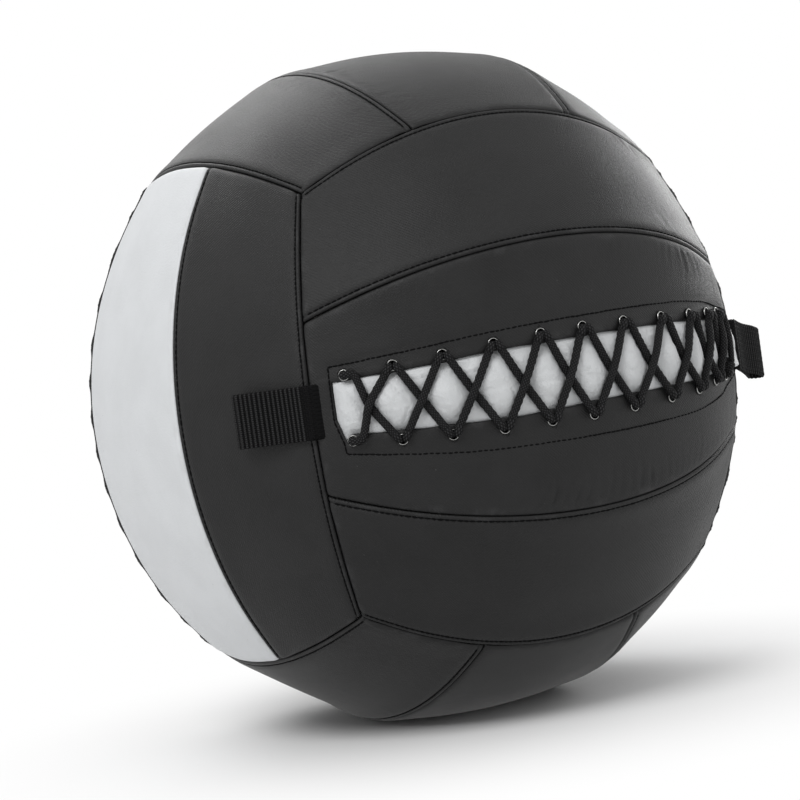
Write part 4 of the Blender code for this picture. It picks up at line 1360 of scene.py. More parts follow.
@dataclass(frozen=True)
class Lacing:
    """Where the eyelets lie and how the lace runs through them.

    Lengths along and across are on the laced strip, across from its middle. Upper is +1 and
    lower is -1.

    Attributes:
        half_width: Greatest length across of a row of eyelets.
        length_shares: The eyelets' places along the strip.
        upper_shares: The upper row's places across, as shares of half_width.
        lower_shares: The same for the lower row.
        panel_thickness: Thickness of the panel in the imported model.
        gap: Gap between touching pieces there.
        tongue_thickness: Thickness of the tongue.
        flange_height: Height of an eyelet's flange.
        lip_height: Height of its lip behind the tongue.
        diameter: The lace's diameter.
        eyelet_diameter: Its diameter where it is squeezed in an eyelet.
        knot_diameter: Its diameter where it is pulled tight in the knot.
        clearance: Room between lace and eyelet.
        pass_spacing: Distance between its two passes through an eyelet.
        lane_spacing: Distance between its two runs behind the tongue.
        bend: Radius of its bends at an eyelet.
        squeeze: How far two crossing strands press into each other.
        sink: Height of the middle of a falling strand where it crosses.
        lead: How far the first two strands run level before they turn.
        first_pass: Where the lace passes the first two eyelets, as a share of half pass_spacing.
        edge_stops: Distances from the eyelet and heights of a strand over the flap's edge.
        back_lanes: Shares of the row's place at which a hidden run keeps its lane.
        back_crossing: Share at which the other run does.
        knot_turns: Turns of the lace round its own end.
        knot_offset: Length of the knot along the strip from the last eyelet.
        bulge: How far the last strand bulges beyond it.
        tail: Length of the end inside the knot.
    """

    half_width: float = 0.0215
    length_shares: tuple[float, ...] = (
        0.067, 0.156, 0.246, 0.34, 0.431, 0.517, 0.61, 0.71, 0.802, 0.875, 0.929,
    )
    upper_shares: tuple[float, ...] = (
        0.69, 0.76, 0.84, 0.92, 0.985, 1, 0.98, 0.94, 0.89, 0.85, 0.81,
    )
    lower_shares: tuple[float, ...] = (
        0.78, 0.9, 0.955, 0.99, 0.985, 1, 0.98, 0.94, 0.885, 0.78, 0.72,
    )
    panel_thickness: float = 0.002
    gap: float = 0.0003
    tongue_thickness: float = 0.001
    flange_height: float = 0.0005
    lip_height: float = 0.0004
    diameter: float = 0.004
    eyelet_diameter: float = 0.0024
    knot_diameter: float = 0.0029
    clearance: float = 0.0004
    pass_spacing: float = 0.0024
    lane_spacing: float = 0.0051
    bend: float = 0.0018
    squeeze: float = 0.0005
    sink: float = 0.0001
    lead: float = 0.0062
    first_pass: float = -0.8
    edge_stops: tuple[Pair, ...] = ((0.0034, 0.0025), (0.0056, 0.0019))
    back_lanes: Pair = (0.75, 0.4)
    back_crossing: float = 0.62
    knot_turns: float = 1.25
    knot_offset: float = -0.0035
    bulge: float = 0.0005
    tail: float = 0.0075

    @cached_property
    def length(self) -> float:
        """Return the laced strip's length."""
        return SHELL.length(Face.FRONT, 1)

    @cached_property
    def lengths(self) -> Array:
        """Return the eyelets' lengths along the strip."""
        return self.length * np.array(self.length_shares)

    @property
    def top(self) -> float:
        """Return the height of an eyelet's flange."""
        return self.gap + self.flange_height

    @property
    def tongue_top(self) -> float:
        """Return the height of the tongue's face behind the panel."""
        return -(self.panel_thickness + self.gap)

    @property
    def underside(self) -> float:
        """Return the height of an eyelet's lip."""
        return self.tongue_top - self.tongue_thickness - self.gap - self.lip_height

    def row(self, sign: int, along: Array) -> Array:
        """Return the length across of a row of eyelets at lengths along."""
        shares = self.upper_shares if sign > 0 else self.lower_shares
        return sign * self.half_width * np.interp(along, self.lengths, shares)

    def place(self, along: Array, across: Array, height: Array | float) -> tuple[Array, ...]:
        """Return places, normals and ways along, for lengths across from the middle line."""
        along = np.asarray(along, float)
        half = SHELL.width(Face.FRONT, 1, along / self.length) / 2
        return SHELL.place(Face.FRONT, 1, along, half + across, height)

    def eyelet_places(self) -> list[tuple[str, float, float]]:
        """Return the name of each eyelet's node and its lengths along and across."""
        return [(f"eyelet_{word}_{index + 1:02d}", float(along), float(self.row(sign, along)))
                for word, sign in (("upper", 1), ("lower", -1))
                for index, along in enumerate(self.lengths)]

    def eyelet_pass(self, index: int, sign: int, turn: float) -> Array:
        """Return the place of one of the lace's two passes through an eyelet."""
        along = self.lengths[index]
        return np.array((along + turn * self.pass_spacing / 2, self.row(sign, along)))

    def through(self, place: Array) -> list[Array]:
        """Return the route through an eyelet, from the front to the back."""
        levels = (self.top + self.clearance / 2, self.underside - self.clearance / 2)
        return [np.array((*place, level, self.eyelet_diameter / 2)) for level in levels]

    def turn(self, place: Array, way: Array, high: bool) -> list[Array]:
        """Return the route round the bend between an eyelet and a run along the panel."""
        level = self.top if high else self.underside
        shares = (0.92, 1.0) if high else (0.5, 0.62)
        points = []
        for degrees, share in zip((35.0, 90.0), shares):
            angle = math.radians(degrees)
            reach = self.bend * (1 - math.cos(angle))
            lift = self.bend * math.sin(angle) + self.clearance / 2
            points.append(np.array((*(place + way * reach), level + (lift if high else -lift),
                                    self.diameter / 2 * share)))
        return points

    def strand(self, index: int, rising: bool) -> list[Array]:
        """Return the route of one crossing strand in front, from left to right.

        Args:
            index: Number of the eyelet at its left end.
            rising: Whether it climbs to the right and so lies over the one it crosses.

        Returns:
            Lengths along and across, heights and radii.
        """
        sign = -1 if rising else 1
        start = self.eyelet_pass(index, sign, 1 if index else self.first_pass)
        end = self.eyelet_pass(index + 1, -sign, -1)
        other = self.eyelet_pass(index, -sign, 1), self.eyelet_pass(index + 1, sign, -1)
        matrix = np.array((end - start, other[0] - other[1])).T
        share = float(np.linalg.solve(matrix, other[0] - start)[0])
        length = float(np.linalg.norm(end - start))
        way = (end - start) / length
        middle = self.sink + (self.diameter - self.squeeze if rising else 0)
        crossing = start + way * share * length
        if index:
            route = self.turn(start, way, True)
            spots = [(start + way * reach, height) for reach, height in self.edge_stops]
        else:
            route = self.turn(start, np.array((1.0, 0.0)), True)
            first = start + np.array((self.lead, way[1] * self.lead * 0.15))
            spots = [(first, self.edge_stops[0][1]), ((first + crossing) / 2, self.edge_stops[1][1])]
        spots.append((crossing, middle))
        spots += [(end - way * reach, height) for reach, height in reversed(self.edge_stops)]
        route += [np.array((*spot, height, self.diameter / 2)) for spot, height in spots]
        return route + self.turn(end, -way, True)[::-1]

    def hidden_run(self, index: int, turn: int) -> list[Array]:
        """Return the route behind the tongue, from a pair's upper eyelet to its lower one."""
        along = self.lengths[index]
        upper, lower = self.eyelet_pass(index, 1, turn), self.eyelet_pass(index, -1, -turn)
        lane = turn * self.lane_spacing / 2
        under = self.underside - (self.clearance + self.diameter) / 2
        deep = under - self.diameter - 2 * self.clearance
        if turn == 0:
            stops = [(0.0, self.back_crossing, under), (0.0, -self.back_crossing, under)]
        elif turn > 0:
            stops = [(lane, self.back_crossing, under), (0.0, 0.0, under),
                     (-lane, -self.back_crossing, under)]
        else:
            outer, inner = self.back_lanes
            stops = [(lane, outer, under), (lane * inner, inner, deep), (0.0, 0.0, deep),
                     (-lane * inner, -inner, deep), (-lane, -outer, under)]
        points = [np.array((along + offset, share * abs(upper[1] if share > 0 else lower[1]),
                            height, self.diameter / 2)) for offset, share, height in stops]
        first, last = unit(points[0][:2] - upper), unit(points[-1][:2] - lower)
        return self.turn(upper, first, False) + points + self.turn(lower, last, False)[::-1]

    def behind(self, index: int, turn: int, passes: Pair) -> list[Array]:
        """Return the route in at a pair's upper eyelet and out at its lower one.

        Args:
            index: Number of the pair.
            turn: Which of its two hidden runs it is, or 0 for an only one.
            passes: Which pass through the upper eyelet it takes, and which through the lower.

        Returns:
            Lengths along and across, heights and radii.
        """
        upper, lower = (self.eyelet_pass(index, sign, at) for sign, at in zip((1, -1), passes))
        return self.through(upper) + self.hidden_run(index, turn) + self.through(lower)[::-1]

    def knot(self) -> tuple[list[Array], list[Array]]:
        """Return the routes of the lace's two ends: round the knot, and straight inside it."""
        last = len(self.lengths) - 1
        start, end = self.eyelet_pass(last, -1, 1), self.eyelet_pass(last, 1, 1)
        foot = start + np.array((self.knot_offset, self.bend))
        radius, thick = self.knot_diameter * 0.72, self.knot_diameter / 2
        axis = thick * 0.6 + radius
        stub = self.turn(start, unit(foot - start), True)[:1]
        stub += [np.array((*(foot + (0, self.tail * share)), axis, thick)) for share in (0, 1)]
        steps = 12
        wound = []
        for index in range(int(self.knot_turns * steps) + 1):
            turns = index / steps
            angle = math.pi / 2 + 2 * math.pi * (turns - self.knot_turns)
            wound.append(np.array((
                foot[0] + radius * math.cos(angle), foot[1] + self.knot_diameter * (0.9 + turns),
                axis + radius * math.sin(angle), thick)))
        bulge = np.array((end[0] + self.bulge, (foot[1] + self.knot_diameter + end[1]) / 2))
        wound.append(np.array((*bulge, self.top + 0.7 * self.diameter, self.diameter / 2)))
        return wound + self.turn(end, unit(bulge - end), True)[::-1], stub

    def route(self) -> Array:
        """Return the whole lace: lengths along and across, heights and radii."""
        last = len(self.lengths) - 1
        start, stub = self.knot()
        route = list(start)
        for index in range(last, 0, -1):
            route += self.behind(index, 1, (1, -1)) + self.strand(index - 1, False)[::-1]
        route += self.behind(0, 0, (self.first_pass, self.first_pass))
        for index in range(last):
            route += self.strand(index, True) + self.behind(index + 1, -1, (-1, 1))
        return np.array(route + stub)

    def front_samples(self) -> Array:
        """Return points of all the strands in front, close together."""
        strands = [smooth_path(self.strand(index, rising), 10)
                   for index in range(len(self.lengths) - 1) for rising in (False, True)]
        return np.vstack([*strands, smooth_path(self.knot()[0], 10)])


LACING = Lacing()


@dataclass(frozen=True)
class LacedShape(PanelShape):
    """The real face of the laced panel, with the slot's folded edges and the lace's dents.

    Attributes:
        slot_ends: Lengths along at which the slot starts and ends.
        upper_edge: Lengths along and across of the slot's upper edge.
        lower_edge: The same for its lower edge.
        scallop: How far the edges reach into the slot at the eyelets.
        scallop_spread: How far along such a scallop runs to each side.
        scallop_fade: Length from the slot's ends over which they start.
        fold_depth: Depth to which the fabric is folded in at the edge.
        fold_width: Width of that fold.
        frame_left: Corners of the stitched frame's left side, from below.
        frame_turn: Places that its rounded rest runs through, from the upper left corner.
        roll: The soft roll beside that fold.
        grooves: The groove of the stitched frame, and the wide dip round it.
        dent: The dent that a strand of the lace makes in the flaps.
        dented: Lengths across from the middle between which there are such dents.
        frame_step: Distance between points of the frame's line.
    """

    slot_ends: Pair = (0.0118, 0.2682)
    upper_edge: tuple[Pair, ...] = (
        (0.0118, 0.0119), (0.0185, 0.0122), (0.042, 0.0129), (0.067, 0.0142), (0.0925, 0.0161),
        (0.150, 0.0170), (0.193, 0.0166), (0.218, 0.0156), (0.238, 0.0148), (0.2527, 0.0138),
        (0.2575, 0.0142), (0.262, 0.0154), (0.2682, 0.0158),
    )
    lower_edge: tuple[Pair, ...] = (
        (0.0118, -0.0062), (0.0151, -0.0168), (0.0185, -0.0138), (0.025, -0.0140),
        (0.0487, -0.0152), (0.0998, -0.0165), (0.1507, -0.0148), (0.207, -0.0142),
        (0.2165, -0.0146), (0.238, -0.0134), (0.2527, -0.0128), (0.264, -0.0130),
        (0.2682, -0.0130),
    )
    scallop: float = 0.0005
    scallop_spread: float = 0.006
    scallop_fade: float = 0.004
    fold_depth: float = 0.0011
    fold_width: float = 0.0009
    frame_left: tuple[Pair, ...] = (
        (0.0140, -0.0229), (0.0138, -0.0180), (0.0104, -0.0066), (0.0106, 0.0194),
    )
    frame_turn: tuple[Pair, ...] = (
        (0.0106, 0.0194), (0.0470, 0.0219), (0.0966, 0.0256), (0.1524, 0.0272), (0.2000, 0.0268),
        (0.2320, 0.0248), (0.2470, 0.0224), (0.2560, 0.0205), (0.2640, 0.0188), (0.2692, 0.0165),
        (0.2699, 0.0100), (0.2699, -0.0100), (0.2690, -0.0150), (0.2630, -0.0180),
        (0.2531, -0.0213), (0.2443, -0.0250), (0.2164, -0.0296), (0.1800, -0.0312),
        (0.1422, -0.0317), (0.0885, -0.0309), (0.0500, -0.0275), (0.0140, -0.0229),
    )
    roll: Ridge = Ridge(0.0003, 0.0022, 0.0012)
    grooves: tuple[Ridge, ...] = (Ridge(-0.0003, 0.0, 0.0007), Ridge(-0.0002, 0.0, 0.003))
    dent: Ridge = Ridge(0.0004, 0.0, 0.0022)
    dented: Pair = (0.009, 0.027)
    frame_step: float = 0.002

    def edge(self, sign: int, along: Array) -> Array:
        """Return the length across of the slot's upper or lower edge."""
        table = np.array(self.upper_edge if sign > 0 else self.lower_edge)
        base = np.interp(along, table[:, 0], table[:, 1])
        near = np.min(np.abs(np.asarray(along)[..., None] - LACING.lengths), axis=-1)
        start, end = self.slot_ends
        inside = eased((along - start) / self.scallop_fade)
        inside = inside * eased((end - along) / self.scallop_fade)
        wave = np.exp(-(near / self.scallop_spread) ** 2) - 0.5
        return base - sign * self.scallop * wave * inside

    def outline(self) -> Array:
        """Return the slot's outline as lengths along and across from the middle."""
        along = np.linspace(*self.slot_ends, 140)
        upper = np.stack((along, self.edge(1, along)), 1)
        lower = np.stack((along, self.edge(-1, along)), 1)
        return np.vstack((upper, lower[::-1], upper[:1]))

    def frame_line(self) -> Array:
        """Return the stitched frame as a closed line of lengths along and across."""
        turn = smooth_path(np.array(self.frame_turn), 8)
        return np.vstack((turn, self.frame_left[1:]))

    def slot_distance(self, along: Array, across: Array) -> Array:
        """Return the distances from the slot's outline."""
        return self.distance(self.outline(), along, across)

    def distance(self, line: Array, along: Array, across: Array) -> Array:
        """Return the distances of places from a line."""
        start, way = line[:-1], np.diff(line, axis=0)
        size = np.maximum(np.sum(way ** 2, 1), 1e-18)
        spots = np.stack((np.ravel(along), np.ravel(across)), 1)
        best = np.full(len(spots), np.inf)
        for first, step, length in zip(start, way, size):
            share = np.clip((spots - first) @ step / length, 0, 1)
            best = np.minimum(best, np.linalg.norm(spots - first - share[:, None] * step, axis=1))
        return best.reshape(np.shape(along))

    def heights(self, along: Array, across: Array) -> Array:
        """Return how high the real face stands over the stretched strip."""
        along, across = np.broadcast_arrays(np.asarray(along, float), np.asarray(across, float))
        total = super().heights(along, across)
        middle = across - self.width(along) / 2
        near = self.slot_distance(along, middle)
        fold = np.clip(near / self.fold_width, 0, 1)
        total = total - self.fold_depth * (1 - np.sqrt(1 - (1 - fold) ** 2))
        total = total + self.roll.height(near)
        stitched = self.distance(self.frame_line(), along, middle)
        for groove in self.grooves:
            total = total + groove.height(stitched)
        return total - self.strand_dents(along, middle)

    def strand_dents(self, along: Array, across: Array) -> Array:
        """Return how far the strands of the lace press into the flaps."""
        pressed = np.zeros(np.shape(along))
        close = (np.abs(across) > self.dented[0]) & (np.abs(across) < self.dented[1])
        spots = np.stack((along[close], across[close]), 1)
        if not len(spots):
            return pressed
        depth = np.zeros(len(spots))
        for index in range(len(LACING.lengths) - 1):
            for sign in (-1, 1):
                start = LACING.eyelet_pass(index, sign, 1)
                end = LACING.eyelet_pass(index + 1, -sign, -1)
                way = end - start
                share = np.clip((spots - start) @ way / np.dot(way, way), 0, 1)
                gap = np.linalg.norm(spots - start - share[:, None] * way, axis=1)
                depth = np.maximum(depth, self.dent.height(gap))
        pressed[close] = depth
        return pressed

    def frame_path(self) -> Array:
        """Return the frame as lengths along and across the strip, for its thread."""
        line = self.frame_line()
        path = even_path(np.column_stack((line, np.zeros(len(line)))), self.frame_step)[:, :2]
        path[:, 1] += self.width(path[:, 0]) / 2
        return path


@dataclass
class LacedPanel:
    """The front middle panel: its flaps, eyelet holes and the stitched frame round the slot.

    Attributes:
        shape: Its real face.
        thickness: Thickness of the fabric.
        column_pitch: Distance between columns of its mesh.
        edge_steps: Distances from the slot's edge at which rows lie.
        end_steps: Distances beyond the slot's ends at which columns lie.
        seam_columns: Number of columns beside an end seam.
        flap_rows: Stretches of a flap between the fine rows at its edges.
        slot_rows: Stretches across the slot, which get no faces.
        wear_and_shade_offset: How much less than a seam the slot's edge is worn and shaded in paint,
            as a distance.
    """

    shape: LacedShape = field(default_factory=lambda: LacedShape(Face.FRONT, 1))
    thickness: float = 0.0013
    column_pitch: float = 0.0016
    edge_steps: tuple[float, ...] = (0.0, 0.0003, 0.0007, 0.0012, 0.002, 0.003, 0.0045)
    end_steps: Triple = (0.0012, 0.0022, 0.0034)
    seam_columns: int = 8
    flap_rows: int = 12
    slot_rows: int = 8
    wear_and_shade_offset: float = 0.0006

    def columns(self) -> Array:
        """Return the lengths along at which the mesh has a column."""
        start, end = self.shape.slot_ends
        steps, outside = np.array(self.edge_steps), np.array(self.end_steps)
        seam = np.array(EDGE_STEPS[:self.seam_columns])
        left = np.concatenate((seam, (start - outside)[::-1], start + steps))
        right = np.concatenate(((end - steps)[::-1], end + outside,
                                (self.shape.length - seam)[::-1]))
        count = round((right[0] - left[-1]) / self.column_pitch)
        middle = np.linspace(left[-1], right[0], count + 1)[1:-1]
        return np.unique(np.round(np.concatenate((left, middle, right)), 7))

    def rows(self, along: Array) -> tuple[Array, int]:
        """Return the lengths across for each column, and how many lie below the slot."""
        half = self.shape.width(along) / 2
        inside = np.clip(along, *self.shape.slot_ends)
        low, high = self.shape.edge(-1, inside), self.shape.edge(1, inside)
        lower, upper = (ladder(EDGE_STEPS, self.edge_steps, total, self.flap_rows)
                        for total in (half + low, half - high))
        slot = low[:, None] + (high - low)[:, None] * np.linspace(0, 1, self.slot_rows + 1)[1:-1]
        rows = np.hstack((lower - half[:, None], slot, (half[:, None] - upper)[:, ::-1]))
        return rows, lower.shape[1]

    def build(self, wardrobe: Wardrobe, cutter: Object) -> list[Object]:
        """Build and dress the panel and its stitched frame.

        Args:
            wardrobe: The materials.
            cutter: The plugs that cut the eyelet holes.

        Returns:
            The panel and the frame's thread.
        """
        columns = self.columns()
        middle, below = self.rows(columns)
        along = np.broadcast_to(columns[:, None], middle.shape)
        across = middle + self.shape.width(along) / 2
        points, _ = self.shape.surface(along, across)
        keep = np.ones((len(columns) - 1, middle.shape[1] - 1), bool)
        centres = (columns[:-1] + columns[1:]) / 2
        in_slot = (centres > self.shape.slot_ends[0]) & (centres < self.shape.slot_ends[1])
        keep[np.ix_(in_slot, below - 1 + np.arange(self.slot_rows))] = False
        seam = np.minimum.reduce(self.shape.distances(along, across))
        # The slot's edge is worn and gets painted crease shade like a seam, a little less.
        seam = np.minimum(seam, self.shape.slot_distance(along, middle) + self.wear_and_shade_offset)
        cloth = Cloth.grid(points, np.stack((along, middle), -1), {"seam": seam}, keep)
        piece = cloth.piece("front_laced_panel_cover", wardrobe.black)
        thickened(piece, self.thickness)
        cut(piece, cutter)
        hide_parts("front_laced_panel")
        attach(piece, "ball")
        thread = Topstitch().thread(self.shape, self.shape.frame_path())
        frame_thread = thread.piece("slot_frame_stitching", wardrobe.thread)
        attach(frame_thread, "ball")
        return [piece, frame_thread]


HOLE_RADIUS = 0.0026
PLUG_REACH = 0.006


def hole_cutter() -> Object:
    """Make the plugs that cut the eyelet holes."""
    cloths = []
    for _, along, across in LACING.eyelet_places():
        reach = np.array((-PLUG_REACH, PLUG_REACH))
        ends, _, _ = LACING.place(np.full(2, along), np.full(2, across), reach)
        cloths.append(tube(ends, np.full(2, HOLE_RADIUS), 24))
    plug = joined(cloths).piece("eyelet_plugs", bpy.data.materials.new("plug"))
    bpy.context.view_layer.update()
    return plug


def cut(piece: Object, cutter: Object) -> None:
    """Cut the eyelet holes out of a piece for good."""
    holes = piece.modifiers.new("eyelet_holes", "BOOLEAN")
    holes.operation = "DIFFERENCE"
    holes.solver = "EXACT"
    holes.use_self = True
    holes.object = cutter
    settle_modifiers(piece)
    piece.data.shade_smooth()


@dataclass
class Eyelets:
    """The metal eyelets: rolled flange in front, barrel, and a lip behind the tongue.

    Attributes:
        bore: Inner radius.
        flange: Outer radius of the rolled flange.
        lip: Outer radius of the lip behind.
        wall: Thickness of the metal.
        roll_low: Height at which the flange's roll ends.
        roll_rise: Height of that roll.
        lip_round: How far the lip is rounded.
        segments: Flats round each eyelet.
    """

    bore: float = 0.0021
    flange: float = 0.0028
    lip: float = 0.0032
    wall: float = 0.0003
    roll_low: float = -0.00005
    roll_rise: float = 0.00055
    lip_round: float = 0.0001
    segments: int = 28

    def profile(self) -> list[Pair]:
        """Return the section as radii and heights, round in front and rolled behind."""
        middle = (self.bore + self.flange) / 2
        half = (self.flange - self.bore) / 2
        outside, low, height = self.bore + self.wall, LACING.underside, LACING.lip_height
        points = [(middle - half * math.cos(angle), self.roll_low + self.roll_rise * math.sin(angle))
                  for angle in np.linspace(0, math.pi, 9)]
        return points + [(outside, self.roll_low), (outside, low + height), (self.lip, low + height),
                         (self.lip + self.lip_round, low + height / 2), (self.lip, low),
                         (self.bore, low)]

    def build(self, wardrobe: Wardrobe) -> list[Object]:
        """Build every eyelet."""
        profile = np.array(self.profile() + self.profile()[:1])
        angles = np.linspace(0, 2 * math.pi, self.segments + 1)
        pieces = []
        for name, along, across in LACING.eyelet_places():
            points, normals, ways = LACING.place(np.array([along]), np.array([across]), 0.0)
            point, normal, way = points[0], normals[0], ways[0]
            side = np.cross(normal, way)
            ring = np.cos(angles)[:, None] * way + np.sin(angles)[:, None] * side
            grid = point + profile[:, 0, None, None] * ring + profile[:, 1, None, None] * normal
            flat = np.stack(np.broadcast_arrays(profile[:, 0, None], angles[None, :] * 0.003), -1)
            cloth = Cloth.grid(grid, flat, round_v=True)
            swap = {len(cloth.points) - self.segments + i: i for i in range(self.segments)}
            cloth.faces = [tuple(swap.get(i, i) for i in face) for face in cloth.faces]
            piece = cloth.piece(name + "_ring", wardrobe.metal)
            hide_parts(name)
            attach(piece, "ball")
            pieces.append(piece)
        return pieces


@dataclass
class Lace:
    """The braided cord that closes the slot.

    Attributes:
        step: Distance between rings of the mesh.
        sides: Flats round the cord.
        strands: Number of braid strands that wind each way.
        braid_length: Length along the cord between crossings of the braid.
        relief: How far a strand stands out or lies in, as a share of the radius.
    """

    step: float = 0.00045
    sides: int = 16
    strands: int = 4
    braid_length: float = 0.0034
    relief: float = 0.063

    def swell(self, lengths: Array, turns: Array) -> Array:
        """Return the factor on the radius that the braid gives."""
        one, two = (np.sin(math.pi * (lengths / self.braid_length + way * self.strands * turns))
                    for way in (1, -1))
        return 1 + self.relief * (np.abs(one * two) * 2 - 1)

    def build(self, wardrobe: Wardrobe) -> list[Object]:
        """Build the lace along its route."""
        path = smooth_path(LACING.route(), 10)
        points, _, _ = LACING.place(path[:, 0], path[:, 1], path[:, 2])
        even = even_path(np.column_stack((points, path[:, 3])), self.step)
        cloth = tube(even[:, :3], even[:, 3], self.sides, self.swell)
        piece = cloth.piece("lace_cord", wardrobe.cord)
        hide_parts("lace")
        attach(piece, "ball")
        return [piece]


@dataclass
class Tongue:
    """The silver tongue: a stretched sheet that the filling presses out between the strands.

    Attributes:
        margin: Distance of its ends from the strip's ends.
        hem: How far it runs on beyond the eyelets.
        thickness: Its thickness.
        columns: Stretches of its mesh along the strip.
        rows: Stretches across.
        pressure: How far the filling presses each point out at each step.
        push_size: Width of the spots where it presses more or less.
        rounds: Steps until it is at rest.
        sunk: Height at which the flaps hold it.
        bulge: Its height at the right end, where no strand holds it.
        tilt: How much higher it stands there for each length down.
        free_from: Length along from which no strand holds it.
        free_fade: Lengths along, and from the slot's edge, over which it rises there.
        open_height: Height that stands for nothing above it.
        room: Gap between it and a strand.
        press: How far a strand can press it below sunk.
        tuck: How much lower it lies under the flaps.
        ease: Distance from the slot's edge over which it comes free of the flaps.
        creases: Sizes along and across of its sway, its long folds and its short ones.
        wrinkle: Depth of those.
    """

    margin: float = 0.0025
    hem: float = 0.0072
    thickness: float = 0.0007
    columns: int = 300
    rows: int = 66
    pressure: float = 0.00003
    push_size: float = 0.007
    rounds: int = 600
    sunk: float = -0.0017
    bulge: float = 0.0024
    tilt: float = 0.13
    free_from: float = 0.249
    free_fade: Pair = (0.006, 0.0018)
    open_height: float = 0.01
    room: float = 0.0001
    press: float = 0.0012
    tuck: float = 0.0004
    ease: float = 0.004
    creases: tuple[Pair, ...] = ((0.02, 0.014), (0.0075, 0.012), (0.014, 0.006))
    wrinkle: float = 0.0009

    def spots(self) -> tuple[Array, Array]:
        """Return the lengths along and across of the sheet's points."""
        along = np.linspace(self.margin, LACING.length - self.margin, self.columns + 1)
        low = LACING.row(-1, along) - self.hem
        high = LACING.row(1, along) + self.hem
        shares = np.linspace(0, 1, self.rows + 1)
        return (np.broadcast_to(along[:, None], (len(along), len(shares))),
                low[:, None] + (high - low)[:, None] * shares)

    def ceiling(self, along: Array, across: Array,
                shape: LacedShape) -> tuple[Array, Array, Array]:
        """Find the greatest height that each point of the sheet can have.

        Args:
            along: Lengths along of the points.
            across: Lengths across.
            shape: The laced panel, whose flaps hold the sheet down.

        Returns:
            The greatest heights, those that the strands alone allow, and which points lie free
            in the slot.
        """
        inside = ((along > shape.slot_ends[0]) & (along < shape.slot_ends[1])
                  & (across > shape.edge(-1, along)) & (across < shape.edge(1, along)))
        near = shape.slot_distance(along, across)
        under = self.sunk - self.tuck * eased(near / self.ease)
        top = np.where(inside, self.sunk + 1.2 * near ** 0.9 * 4 ** 0.1, under)
        roof = np.full(top.shape, self.open_height)
        for x, y, height, radius in LACING.front_samples():
            gap = np.hypot(along - x, across - y)
            close = gap < radius * 0.98
            belly = height - np.sqrt(radius ** 2 - gap[close] ** 2) - self.room
            belly = np.maximum(belly, self.sunk - self.press)
            for limit in (top, roof):
                limit[close] = np.minimum(limit[close], belly)
        return top, roof, inside

    def settle(self, shape: LacedShape) -> tuple[Array, Array, Array]:
        """Press the sheet out against flaps and strands until it is at rest."""
        along, across = self.spots()
        top, roof, inside = self.ceiling(along, across, shape)
        height = np.minimum(top, self.sunk)
        uneven = soft_noise(along / self.push_size, across / self.push_size, 3.0)
        push = self.pressure * (1 + 0.5 * uneven)
        push = np.where(inside, push, 0)
        for _ in range(self.rounds):
            middle = (height[:-2, 1:-1] + height[2:, 1:-1] + height[1:-1, :-2]
                      + height[1:-1, 2:]) / 4
            height[1:-1, 1:-1] = np.minimum(middle + push[1:-1, 1:-1], top[1:-1, 1:-1])
        near = shape.slot_distance(along, across)
        ease_along, ease_edge = self.free_fade
        end = eased((along - self.free_from) / ease_along) * eased(near / ease_edge) * inside
        raised = np.maximum(height, self.bulge - self.tilt * across)
        height = np.minimum(height + (raised - height) * end, np.where(end > 0, roof, top))
        free = eased(near / self.ease) * inside
        (sway, wide), (slant, lean), (long, short) = self.creases
        bent = 0.8 * soft_noise(along / sway, across / wide, 5.0)
        folds = np.abs(soft_noise(along / slant + across / lean + bent, across / sway, 8.0))
        cross = np.abs(soft_noise(along / long - bent, across / short, 12.0)) + 0.1
        smooth = np.sqrt(np.minimum(np.minimum(folds, cross) * 2.2, 1))
        return along, across, height - self.wrinkle * (1 - smooth) * free

    def build(self, wardrobe: Wardrobe, shape: LacedShape,
              cutter: Object) -> list[Object]:
        """Build the tongue under the laced panel."""
        along, across, height = self.settle(shape)
        points, _, _ = LACING.place(along, across, height)
        cloth = Cloth.grid(points, np.stack((along, across), -1))
        piece = cloth.piece("lacing_tongue_sheet", wardrobe.tongue)
        thickened(piece, self.thickness)
        cut(piece, cutter)
        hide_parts("lacing_tongue")
        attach(piece, "ball")
        LACING.length - 2 * self.margin
        return [piece]


# Webbing loops


class Side(Enum):
    """The side of the front face at which a loop is sewn in."""

    LEFT = -1
    RIGHT = 1


